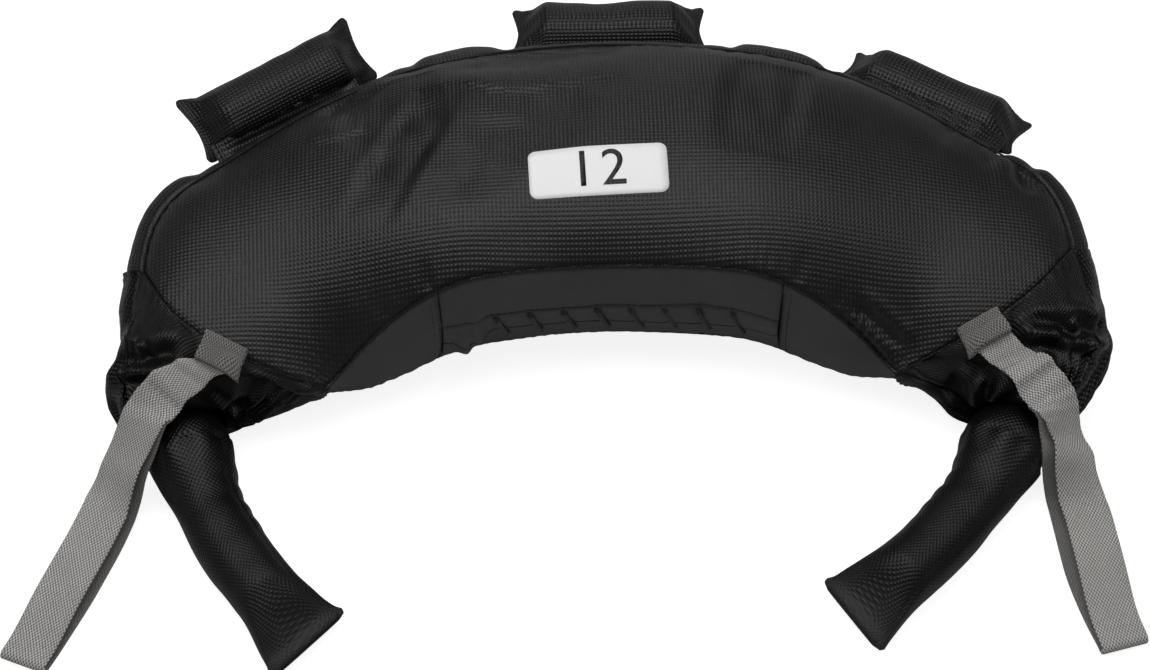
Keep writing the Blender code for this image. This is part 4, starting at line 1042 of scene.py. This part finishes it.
gripPieces = {}
for side in signs:
    rings = gripRings(side)
    # the grip's wear values hold a painted highlight at the flat end as well as wear
    gripBm = gridPiece((grip["sides"], grip["rows"]), gripPlace(rings), flatMap(*grip["flat"]),
                       gripRelief(side, rings), closed=True,
                       wear=lambda u, v: grip["wear"] * math.exp(-(1.0 - v) / grip["wearReach"]))
    bmesh.ops.recalc_face_normals(gripBm, faces=gripBm.faces)
    gripPieces[side] = finishPiece("endGrip" + side.capitalize(), gripBm, "gripLeather", "end_grip_" + side,
                                   ("end_grip_sleeve_" + side, "end_grip_core_" + side),
                                   bag["skin"], fill=grip["fill"])
print("end grips made")


# outer grips: a short sleeve with flat ears, on a flap that is sewn to the outer wall
outer = {"closingIn": 1.3, "earIn": 0.7,
         "tilts": {"left": math.radians(25.0), "center": math.radians(-11.0), "right": math.radians(-22.0)},
         "yaws": {"left": math.radians(8.0), "center": 0.0, "right": math.radians(-5.0)},
         "radius": 0.0215, "half": 0.0612, "pinch": 0.016, "ear": 0.0235, "neck": 0.0195, "root": 0.076,
         "flare": 0.0040, "corner": 0.0055, "endPower": 1.25, "reach": 0.011, "touch": 0.0004,
         "lowered": {"left": 0.0100, "center": 0.0000, "right": 0.0090},
         "slide": {"left": 0.0060, "center": 0.0, "right": -0.0045},
         "grid": (60, 76), "flat": (0.135, 0.12), "wear": 0.6, "wearReach": 0.03, "fill": 0.8}
outerFolds = {"radialIn": (0.001, 0.008), "ripples": 8.0, "rippleDrift": 2.5, "driftScale": 30.0,
              "softIn": 0.012,
              "seeds": {"left": 41, "center": 44, "right": 47}, "radial": 0.0026, "radialReach": 0.014,
              "soft": 0.0016, "softScale": 24.0, "fine": 0.0007, "fineScale": 60.0}
outerFlap = {"rayFrom": 0.03, "rim": 0.04, "closed": 0.02, "flareFrom": 0.004, "flareEnds": (0.036, 0.050),
             "rippleIn": 0.006,
             "half": 0.055, "thick": 0.0032, "clear": {"left": 0.0006, "center": 0.0016, "right": 0.0026},
             "under": 0.0045, "flare": 0.0042, "ripple": 0.0006, "ripples": 480.0, "grid": (24, 44),
             "flat": (0.03, 0.11), "fill": 0.3}


def outerRoot(name):
    share = bag["gripShares"][name]
    outward = lineFrame(share)[1]
    cut = sectionAt(share)
    q = 2.0 * (outer["root"] - cut["seamLow"]) / (cut["seamOut"] - cut["seamLow"]) - 1.0
    root = bodyPoint(share, outlineOuter, q) + outward * (outer["touch"] + outerFlap["thick"] / 2.0)
    turn = Matrix.Rotation(outer["yaws"][name], 3, "Z")
    outward = turn @ outward
    tilt = outer["tilts"][name]
    reach = outward * math.cos(tilt) + Vector((0.0, 0.0, math.sin(tilt)))
    return root, reach, turn @ lineFrame(share)[2]


def sleeveMiddle(name):
    root, reach, along = outerRoot(name)
    middle = root + reach * (outer["reach"] + outer["radius"] + outer["touch"])
    aside = outer["slide"][name] * along.x / abs(along.x)
    middle += along * aside - Vector((0.0, 0.0, outer["lowered"][name]))
    return middle


def sleevePlace(name):
    _, reach, along = outerRoot(name)
    side = reach.cross(along)
    middle = sleeveMiddle(name)

    def place(t, u):
        spot = u * 2.0 - 1.0
        spot = outer["half"] * math.copysign(1.0 - (1.0 - abs(spot)) ** outer["endPower"], spot)
        edge = outer["half"] - abs(spot)
        closing = 1.0 - smoothStep(edge, 0.0, outer["pinch"] * outer["closingIn"])
        ear = 1.0 - smoothStep(edge, 0.0, outer["pinch"] * outer["earIn"])
        wide = mix(mix(outer["radius"], outer["neck"], closing), outer["ear"], ear)
        wide -= roundedCorner(edge, outer["corner"])
        tall = mix(outer["radius"], bag["skin"] + grip["flatGap"], closing)
        angle = 2.0 * math.pi * t
        wide += outer["flare"] * ear * max(0.0, math.cos(angle)) ** 2
        spot += math.copysign(outer["flare"] * ear * math.cos(angle) ** 2, spot)
        return middle + along * spot + reach * (wide * math.cos(angle)) + side * (tall * math.sin(angle))
    return place


def sleeveRelief(name):
    seed = outerFolds["seeds"][name]
    middle = sleeveMiddle(name)
    along = outerRoot(name)[2]

    def relief(t, u, here):
        angle = 2.0 * math.pi * t
        toEnd = outer["half"] - abs((here - middle).dot(along))
        radial = math.exp(-toEnd / outerFolds["radialReach"]) * smoothStep(toEnd, *outerFolds["radialIn"])
        drift = outerFolds["rippleDrift"] * lump(here, outerFolds["driftScale"], seed)
        ripple = 0.5 + 0.5 * math.sin(angle * outerFolds["ripples"] + drift)
        folds = -outerFolds["radial"] * radial * ripple
        soft = (outerFolds["soft"] * lump(here, outerFolds["softScale"], seed)
                + outerFolds["fine"] * lump(here, outerFolds["fineScale"], seed + 1))
        return folds + soft * smoothStep(toEnd, 0.0, outerFolds["softIn"])
    return relief


def outerFlapPlace(name):
    root, reach, along = outerRoot(name)
    side = reach.cross(along)
    level = Vector((reach.x, reach.y, 0.0)).normalized()

    def place(u, v):
        run = outerFlap["half"] * (2.0 * v - 1.0)
        spot = root + along * run
        hit = wallTree.ray_cast(spot + level * outerFlap["rayFrom"], -level)
        back = (hit[0] - spot).dot(level) + outerFlap["clear"][name] if hit[0] else 0.0
        front = outer["reach"] + outerFlap["under"]
        t = 1.0 - abs(2.0 * u - 1.0)
        out = mix(back, front, smoothStep(t, outerFlap["rim"], 1.0 - outerFlap["rim"]))
        flare = outerFlap["flare"] * smoothStep(out, outerFlap["flareFrom"], front)
        flare *= 1.0 - smoothStep(abs(run), *outerFlap["flareEnds"])
        half = outerFlap["thick"] / 2.0 + flare
        half *= 1.0 if outerFlap["closed"] < t < 1.0 - outerFlap["closed"] else 0.0
        ripple = outerFlap["ripple"] * math.sin(run * outerFlap["ripples"])
        ripple *= smoothStep(out, 0.0, outerFlap["rippleIn"])
        return spot + reach * out + side * (math.copysign(half, 0.5 - u) + ripple)
    return place


wallTree = BVHTree.FromObject(outerWall, bpy.context.evaluated_depsgraph_get())
for name in bag["gripShares"]:
    sleeveBm = gridPiece(outer["grid"], sleevePlace(name), flatMap(*outer["flat"]), sleeveRelief(name),
                         closed=True,
                         wear=lambda u, v: outer["wear"] * math.exp(-min(v, 1.0 - v) / outer["wearReach"]))
    bmesh.ops.recalc_face_normals(sleeveBm, faces=sleeveBm.faces)
    finishPiece("outerGrip" + name.capitalize(), sleeveBm, "outerLeather", "outer_grip_" + name,
                ("outer_grip_sleeve_" + name, "outer_grip_core_" + name), bag["skin"],
                fill=outer["fill"])
    flapBm = closeShell(gridPiece(outerFlap["grid"], outerFlapPlace(name), flatMap(*outerFlap["flat"]),
                                  closed=True))
    finishPiece("outerGripFlap" + name.capitalize(), flapBm, "outerLeather", "outer_grip_" + name,
                ("outer_grip_flap_" + name,), fill=outerFlap["fill"])
print("outer grips made")


# webbing: two hand loops and the tabs that hold them on the end seams
webbing = {"leastSlope": 0.4, "columns": 12, "rimHeight": 0.6, "liftKept": 0.55, "liftLost": 0.45,
           "endReach": 0.05, "asideIn": 0.05, "asideOut": 0.06,
           "width": 0.030, "thick": 0.0017, "clear": 0.0007, "curled": 0.80, "curledRows": (14, 42),
           "opening": 0.010, "join": 0.050, "full": 0.165, "droop": 0.0012, "mostRise": 0.016, "perSpan": 9,
           "sweeps": 40, "turnSteps": 14, "edge": (0.0006, 0.0001), "paintedShadeFrom": 0.53,
           "underShift": {"left": 0.0025, "right": -0.0060}}
# each strap's middle line from its tab outwards, and the direction across it, as seen from above
strapRoutes = {
    "left": [(-0.2427, -0.1230), (-0.2462, -0.1268), (-0.2596, -0.1300), (-0.2690, -0.1352), (-0.2800, -0.1424),
             (-0.2908, -0.1527), (-0.3050, -0.1672), (-0.3180, -0.1846), (-0.3331, -0.2182), (-0.3480, -0.2512),
             (-0.3598, -0.2774), (-0.3665, -0.2902)],
    "right": [(0.2367, -0.1222), (0.2441, -0.1294), (0.2520, -0.1335), (0.2596, -0.1384), (0.2660, -0.1452),
              (0.2715, -0.1515), (0.2768, -0.1588), (0.2824, -0.1678), (0.2886, -0.1816), (0.2960, -0.2020),
              (0.3000, -0.2336), (0.3049, -0.2767), (0.3102, -0.2983)]}
strapAcross = {
    "left": [(0.93, -0.37), (0.96, -0.28), (0.95, -0.31), (0.90, -0.44), (0.86, -0.51), (0.86, -0.51),
             (0.90, -0.44), (0.92, -0.39), (0.92, -0.40), (0.92, -0.40), (0.92, -0.39), (0.92, -0.39)],
    "right": [(0.91, 0.41), (0.92, 0.39), (0.93, 0.37), (0.93, 0.37), (0.90, 0.44), (0.88, 0.47), (0.92, 0.38),
              (0.97, 0.25), (0.99, 0.12), (1.00, 0.06), (0.997, 0.08), (0.985, 0.17), (0.97, 0.24)]}
tab = {"swellIn": (0.30, 0.95), "fillLayers": 1.9,
       "width": 0.0275, "above": 0.001, "below": 0.0165, "inward": {"left": 0.014, "right": 0.021},
       "turn": {"left": math.radians(9.0), "right": math.radians(-10.0)}, "grid": (24, 20),
       "flat": (0.030, 0.019), "swell": 0.0040, "reach": 0.012, "follow": (-0.007, 0.004), "sweeps": 8}
acrossSamples = (-1.0, -0.75, -0.5, -0.25, 0.25, 0.5, 0.75, 1.0)
down = Vector((0.0, 0.0, -1.0))
skyHeight = 0.5


class Ground:
    def __init__(self, pieces):
        depsgraph = bpy.context.evaluated_depsgraph_get()
        self.trees = [BVHTree.FromObject(piece, depsgraph) for piece in pieces]

    def height(self, x, y):
        top = 0.0
        for tree in self.trees:
            hit = tree.ray_cast(Vector((x, y, skyHeight)), down)
            if hit[0] is not None:
                top = max(top, hit[0].z)
        return top


def smoothRoute(points, perSpan):
    result = []
    last = len(points) - 1
    for k in range(last):
        p0, p1, p2, p3 = points[max(0, k - 1)], points[k], points[k + 1], points[min(last, k + 2)]
        for part in range(perSpan):
            t = part / perSpan
            result.append((p1 * 2.0 + (p2 - p0) * t + (p0 * 2.0 - p1 * 5.0 + p2 * 4.0 - p3) * t * t
                           + (p1 * 3.0 - p0 - p2 * 3.0 + p3) * t * t * t) * 0.5)
    result.append(points[-1])
    return result


# slope at which a flat strap rests on the heights under it
def supportSlope(heights):
    best = -1.0
    slope = 0.0
    for low, lowHeight in zip(acrossSamples, heights):
        for high, highHeight in zip(acrossSamples, heights):
            if low < 0.0 < high:
                rise = (highHeight - lowHeight) / (high - low)
                if lowHeight - rise * low > best:
                    best = lowHeight - rise * low
                    slope = rise
    return min(webbing["mostRise"], max(-webbing["mostRise"], slope))


def strapNormal(line, wides, k):
    ahead = line[min(k + 1, len(line) - 1)] - line[max(k - 1, 0)]
    normal = wides[k].cross(ahead).normalized()
    return -normal if normal.z < 0.0 else normal


# the strap's middle heights pulled taut over what it lies on
def taut(middles):
    droop = webbing["droop"] / (webbing["perSpan"] / 3.0) ** 2
    floorLine = list(middles)
    for sweep in range(webbing["sweeps"]):
        lifted = list(middles)
        for k in range(1, len(middles) - 1):
            lifted[k] = max(middles[k], (lifted[k - 1] + lifted[k + 1]) / 2.0 - droop)
        middles = [max(a, b) for a, b in zip(lifted, floorLine)]
    return middles


def strapLine(side, ground):
    spread = webbing["perSpan"]
    route = smoothRoute([Vector(p) for p in strapRoutes[side]], spread)
    across = smoothRoute([Vector(p).normalized() for p in strapAcross[side]], spread)
    across = [wide.normalized() for wide in across]
    half = webbing["width"] / 2.0
    profiles = []
    for spot, wide in zip(route, across):
        reach = wide * half
        profiles.append([ground.height(spot.x + reach.x * s, spot.y + reach.y * s) for s in acrossSamples])
    slopes = [supportSlope(heights) for heights in profiles]
    middles = []
    wides = []
    for k, wide in enumerate(across):
        near = slopes[max(0, k - spread):k + spread + 1]
        roll = sum(near) / len(near)
        middles.append(max(h - roll * s for heights in profiles[max(0, k - 2):k + 3]
                           for h, s in zip(heights, acrossSamples)))
        uncurled = mix(webbing["curled"], 1.0, smoothStep(k, *webbing["curledRows"]))
        wides.append(Vector((*(wide * half), roll)).normalized() * uncurled)
    rest = [Vector((spot.x, spot.y, height)) for spot, height in zip(route, taut(middles))]
    base = []
    for k, spot in enumerate(rest):
        slope = strapNormal(rest, wides, k).z
        halfThick = webbing["thick"] / 2.0 / max(webbing["leastSlope"], slope)
        base.append(spot + Vector((0.0, 0.0, webbing["clear"] + halfThick)))
    return base, wides


def webbingProfile():
    half = webbing["width"] / 2.0
    thick = webbing["thick"] / 2.0
    shoulder, rim = webbing["edge"]
    columns = webbing["columns"]
    side = thick * webbing["rimHeight"]
    upper = [(mix(-half + shoulder, half - shoulder, k / columns), thick) for k in range(columns + 1)]
    profile = upper + [(half - rim, side), (half - rim, -side)]
    profile += [(x, -y) for x, y in reversed(upper)]
    return profile + [(-half + rim, -side), (-half + rim, side)]


def sweepWebbing(path):
    profile = webbingProfile()
    lengths = lengthsAlong([spot for spot, normal, wide in path])
    count = len(path) - 1
    sides = len(profile)

    def place(u, v):
        spot, normal, wide = path[round(v * count)]
        x, y = profile[round(u * sides) % sides]
        return spot + wide * x + normal * y

    def flat(u, v):
        return (profile[round(u * sides) % sides][0], lengths[round(v * count)])

    # "wear" is set to 1 on the lower run: painted shade under the upper run, no wear
    return closeShell(gridPiece((sides, count), place, flat, closed=True,
                                wear=lambda u, v: 1.0 if v > webbing["paintedShadeFrom"] else 0.0))


# a strap's upper run goes out from its tab, turns at the far end and comes back underneath
def strapPath(side, base, wides, distances):
    total = distances[-1]
    lower = []
    upper = []
    for k, spot in enumerate(base):
        normal = strapNormal(base, wides, k)
        lift = webbing["opening"] * smoothStep(distances[k], webbing["join"], webbing["full"])
        stillOpen = 1.0 - smoothStep(distances[k], total - webbing["endReach"], total)
        lift *= webbing["liftKept"] + webbing["liftLost"] * stillOpen
        aside = smoothStep(distances[k], webbing["join"], webbing["join"] + webbing["asideIn"])
        aside *= webbing["underShift"][side]
        aside *= 1.0 - smoothStep(distances[k], total - webbing["asideOut"], total)
        lower.append((spot + wides[k] * aside, normal, wides[k]))
        upper.append((spot + normal * (lift + webbing["thick"] + outer["touch"]), normal, wides[k]))
    lowEnd, normal, wide = lower[-1]
    ahead = (base[-1] - base[-2]).normalized()
    middle = (lowEnd + upper[-1][0]) / 2.0
    radius = (upper[-1][0] - lowEnd).length / 2.0
    turn = []
    for k in range(1, webbing["turnSteps"]):
        angle = math.pi * k / webbing["turnSteps"]
        ray = normal * math.cos(angle) + ahead * math.sin(angle)
        turn.append((middle + ray * radius, ray, wide))
    return upper, upper + turn + [(spot, -up, across) for spot, up, across in reversed(lower)]


# level and slopes of the plane that lies closest to a grid's sound heights
def closestPlane(heights, sound):
    mean = sum(heights[r][c] for r, c in sound) / len(sound)
    meanR = sum(r for r, c in sound) / len(sound)
    meanC = sum(c for r, c in sound) / len(sound)
    slopeR = (sum((r - meanR) * (heights[r][c] - mean) for r, c in sound)
              / sum((r - meanR) ** 2 for r, c in sound))
    slopeC = (sum((c - meanC) * (heights[r][c] - mean) for r, c in sound)
              / sum((c - meanC) ** 2 for r, c in sound))
    return lambda r, c: mean + slopeR * (r - meanR) + slopeC * (c - meanC)


# each height made the mean of its four neighbours
def smoothed(heights):
    result = []
    for r, row in enumerate(heights):
        before, after = heights[max(0, r - 1)], heights[min(len(heights) - 1, r + 1)]
        result.append([(before[c] + after[c] + row[max(0, c - 1)] + row[min(len(row) - 1, c + 1)]) / 4.0
                       for c in range(len(row))])
    return result


def tabPlace(side, ground):
    sign = signs[side]
    center, outward, along = lineFrame(sign)
    seam = center + along * sign * bag["seamBow"][side] - outward * tab["inward"][side]
    length = tab["above"] + tab["below"]
    columns, rows = tab["grid"]
    pivot = seam - along * sign * tab["above"] + outward * tab["width"] / 2.0
    turn = Matrix.Rotation(tab["turn"][side], 3, "Z")
    ahead = turn @ along * sign
    wide = turn @ outward
    spots = [[pivot + ahead * (length * r / rows) + wide * (tab["width"] * (c / columns - 1.0))
              for c in range(columns + 1)] for r in range(rows + 1)]
    floorHeights = [[ground.height(spot.x, spot.y) for spot in row] for row in spots]
    middle = floorHeights[rows // 2][columns // 2]
    sound = [(r, c) for r, row in enumerate(floorHeights) for c, height in enumerate(row)
             if abs(height - middle) < tab["reach"]]
    level = closestPlane(floorHeights, sound)
    least, most = tab["follow"]
    heights = [[level(r, c) + max(least, min(most, height - level(r, c))) for c, height in enumerate(row)]
               for r, row in enumerate(floorHeights)]
    for sweep in range(tab["sweeps"]):
        heights = smoothed(heights)

    def place(u, v):
        r, c = round(v * rows), round(u * columns)
        swell = tab["swell"] * smoothStep(v, *tab["swellIn"])
        tall = heights[r][c] + outer["touch"] + webbing["thick"] * 2.0 + swell
        return Vector((spots[r][c].x, spots[r][c].y, tall))
    return place


strapRuns = {}
for side in signs:
    shell = [topPanel, outerWall, capPieces[side], gripPieces[side]]
    tabBm = gridPiece(tab["grid"], tabPlace(side, Ground(shell)), flatMap(*tab["flat"]),
                      flipped=side == "left")
    finishPiece("strapTab" + side.capitalize(), tabBm, "tabWebbing", "bag_body", ("strap_tab_" + side,),
                webbing["thick"] * tab["fillLayers"] + tab["swell"])
    base, wides = strapLine(side, Ground(shell))
    distances = lengthsAlong(base)
    upper, path = strapPath(side, base, wides, distances)
    strapRuns[side] = (upper, distances)
    finishPiece("strapLoop" + side.capitalize(), sweepWebbing(path), "greyWebbing", "strap_" + side,
                ("strap_loop_" + side,))
print("webbing made")

# the frame's own sacks, stuffing and cores get finishes too
fillings = {"sand_sack": "sackCloth", "end_stuffing": "stuffingCloth", "_core_": "gripFoam"}
for name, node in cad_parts.items():
    for part, finish in fillings.items():
        if part in name:
            node.data.materials.clear()
            node.data.materials.append(finishes[finish])


# printed plate with plain numbers on the crown
plate = {"center": (-0.006, -0.0330), "half": (0.0435, 0.0163), "corner": 0.005, "turn": 1.7, "lift": 0.00018,
         "thick": 0.00012, "spacing": 0.003, "text": "12", "textSize": 0.034, "letterSpace": 1.15,
         "textLift": 0.00022, "textThick": 0.00010}
crownTree = BVHTree.FromObject(topPanel, bpy.context.evaluated_depsgraph_get())


# cuts a flat piece into small cells, turns it and lays it on the crown
def layOnCrown(bm, lift):
    for axis, span in zip((Vector((1.0, 0.0, 0.0)), Vector((0.0, 1.0, 0.0))), plate["half"]):
        for k in range(1, int(2.0 * span / plate["spacing"])):
            bmesh.ops.bisect_plane(bm, geom=bm.verts[:] + bm.edges[:] + bm.faces[:],
                                   plane_co=axis * (k * plate["spacing"] - span), plane_no=axis)
    layer = bm.loops.layers.uv.verify()
    layer = bm.loops.layers.uv.new("flat") if layer.name != "flat" else layer
    angle = math.radians(plate["turn"])
    for vert in bm.verts:
        x = vert.co.x * math.cos(angle) - vert.co.y * math.sin(angle) + plate["center"][0]
        y = vert.co.x * math.sin(angle) + vert.co.y * math.cos(angle) + plate["center"][1]
        hit = crownTree.ray_cast(Vector((x, y, skyHeight)), down)
        vert.co = hit[0] + hit[1] * lift
    for face in bm.faces:
        for loop in face.loops:
            loop[layer].uv = loop.vert.co.xy
    return bm


plateBm = bmesh.new()
bmesh.ops.create_grid(plateBm, x_segments=1, y_segments=1, size=1.0)
bmesh.ops.scale(plateBm, vec=(*plate["half"], 1.0), verts=plateBm.verts)
bmesh.ops.bevel(plateBm, geom=plateBm.verts[:], offset=plate["corner"], offset_type="OFFSET", segments=6,
                profile=0.5, affect="VERTICES", material=-1)
finishPiece("printedPlate", layOnCrown(plateBm, plate["lift"]), "whitePrint", "bag_body",
            thickness=plate["thick"])

digits = bpy.data.curves.new("digits", "FONT")
digits.body = plate["text"]
digits.size = plate["textSize"]
digits.align_x = "CENTER"
digits.align_y = "CENTER"
digits.space_character = plate["letterSpace"]
digitHolder = bpy.data.objects.new("digits", digits)
bpy.context.collection.objects.link(digitHolder)
digitMesh = bpy.data.meshes.new_from_object(digitHolder.evaluated_get(bpy.context.evaluated_depsgraph_get()))
bpy.data.objects.remove(digitHolder)
digitBm = bmesh.new()
digitBm.from_mesh(digitMesh)
bmesh.ops.remove_doubles(digitBm, verts=digitBm.verts, dist=0.00001)
layOnCrown(digitBm, plate["lift"] + plate["textLift"])
finishPiece("plateDigits", digitBm, "embossedLeather", "bag_body",
            thickness=plate["textThick"])
print("printed plate made")


# raised lips along both long seams and over the top and outer wall of each end seam
lipLook = {"radius": 0.0007, "proud": 0.0001, "sides": 8, "alongCount": 220, "topCount": 60, "outerCount": 24}
lipRows = []
for s in (1.0, -1.0):
    count = lipLook["alongCount"]
    lipRows.append([bodyPoint(mix(-1.0, 1.0, k / count), outlineTop, s) for k in range(count + 1)])
for sign in signs.values():
    count = lipLook["topCount"]
    places = [-math.cos(math.pi * k / count) for k in range(count + 1)]
    lipRows.append([bodyPoint(sign, outlineTop, s, True) for s in places])
    count = lipLook["outerCount"]
    lipRows.append([bodyPoint(sign, outlineOuter, 1.0 - 2.0 * k / count) for k in range(count + 1)])
lips = bmesh.new()
for row in lipRows:
    raised = [point + Vector((0.0, 0.0, lipLook["proud"])) for point in row]
    rowBm = sweepRound(raised, lipLook["radius"], lipLook["sides"])
    rowMesh = bpy.data.meshes.new("row")
    rowBm.to_mesh(rowMesh)
    rowBm.free()
    lips.from_mesh(rowMesh)
    bpy.data.meshes.remove(rowMesh)
finishPiece("seamLips", lips, "embossedLeather", "bag_body")


# stitching: one row on the upper flap, two beside the flaps on each plain strip, two across each strap
stitchRows = {"flap": (0.34, True, 0.03, 0.97, 120), "left": (0.985, 0.955), "right": (0.015, 0.045),
              "strip": (False, 0.05, 0.96, 40), "strap": {"left": (0.044, 0.046), "right": (0.036, 0.038)},
              "strapHalf": 0.013, "strapPoints": 11}
bodyStitches = bmesh.new()
stitchRow(bodyStitches, flapPlace("Upper"), *stitchRows["flap"])
for side in signs:
    for u in stitchRows[side]:
        stitchRow(bodyStitches, innerPlace(side), u, *stitchRows["strip"])
finishPiece("bodyStitching", bodyStitches, "blackThread", "bag_body")

for side, (upper, distances) in strapRuns.items():
    strapStitches = bmesh.new()
    for target in stitchRows["strap"][side]:
        k = min(range(len(distances)), key=lambda n: abs(distances[n] - target))
        spot, up, wide = upper[k]
        surface = spot + up * webbing["thick"] / 2.0
        half, count = stitchRows["strapHalf"], stitchRows["strapPoints"]
        points = [surface + wide * mix(-half, half, n / (count - 1)) for n in range(count)]
        stitchAlong(strapStitches, points, [up] * count)
    finishPiece("strapStitching" + side.capitalize(), strapStitches, "greyThread", "strap_" + side)
print("stitching made")


# floor, light and camera
studio = {"floorSize": 6.0, "floorDrop": 0.0002, "floorColor": (0.45, 0.45, 0.45, 1.0), "floorGlow": 0.86,
          "worldDiffuse": 0.20, "worldGlossy": 0.05, "aim": (0.0, -0.05, 0.05)}
white = (1.0, 1.0, 1.0, 1.0)
floorBm = bmesh.new()
bmesh.ops.create_grid(floorBm, x_segments=1, y_segments=1, size=studio["floorSize"])
floorMesh = bpy.data.meshes.new("floor")
floorBm.to_mesh(floorMesh)
floorBm.free()
floor = bpy.data.objects.new("floor", floorMesh)
bpy.context.collection.objects.link(floor)
floor.location.z = -studio["floorDrop"]
floorMaterial, floorTree, floorShader = startMaterial("paleFloor")
cameraRay = addNode(floorTree, "ShaderNodeLightPath").outputs["Is Camera Ray"]
feed(floorTree, floorShader, {"Base Color": studio["floorColor"], "Roughness": 0.9, "Emission Color": white,
                              "Emission Strength": times(floorTree, cameraRay, studio["floorGlow"])})
floorMesh.materials.append(floorMaterial)

world = bpy.context.scene.world or bpy.data.worlds.new("studio")
bpy.context.scene.world = world
world.use_nodes = True
worldTree = world.node_tree
paths = addNode(worldTree, "ShaderNodeLightPath")
glossyLight = times(worldTree, paths.outputs["Is Glossy Ray"], studio["worldGlossy"] - studio["worldDiffuse"])
cameraLight = times(worldTree, paths.outputs["Is Camera Ray"], 1.0 - studio["worldDiffuse"])
strength = calc(worldTree, "ADD", studio["worldDiffuse"], calc(worldTree, "ADD", glossyLight, cameraLight))
feed(worldTree, worldTree.nodes["Background"], {"Color": white, "Strength": strength})

lamps = {"topBox": {"at": (-0.10, -0.10, 1.9), "size": 1.2, "glow": 2.9},
         "leftTop": {"at": (-1.15, -0.15, 1.5), "size": 0.8, "glow": 2.8},
         "rightTop": {"at": (1.15, -0.20, 1.4), "size": 0.8, "glow": 2.0},
         "backBox": {"at": (0.0, 2.3, 1.0), "size": 1.0, "glow": 1.8}}
for name, lamp in lamps.items():
    light = bpy.data.lights.new(name, "AREA")
    light.size = lamp["size"]
    light.energy = lamp["glow"] * math.pi * lamp["size"] ** 2
    holder = bpy.data.objects.new(name, light)
    bpy.context.collection.objects.link(holder)
    holder.location = lamp["at"]
    holder.rotation_euler = (Vector(studio["aim"]) - Vector(lamp["at"])).to_track_quat("-Z", "Y").to_euler()

cameraData = bpy.data.cameras.new("camera")
cameraData.lens = view["lens"]
cameraData.sensor_width = view["sensor"]
cameraData.sensor_fit = "HORIZONTAL"
camera = bpy.data.objects.new("camera", cameraData)
bpy.context.collection.objects.link(camera)
ahead = Vector(view["ahead"]).normalized()
sideways = Vector(view["right"]).normalized()
upward = sideways.cross(ahead).normalized()
sideways = ahead.cross(upward).normalized()
turn = Matrix((sideways, upward, -ahead)).transposed().to_4x4()
camera.matrix_world = Matrix.Translation(view["at"]) @ turn
bpy.context.scene.camera = camera
bpy.context.scene.view_settings.view_transform = "Standard"

print("scene ready")
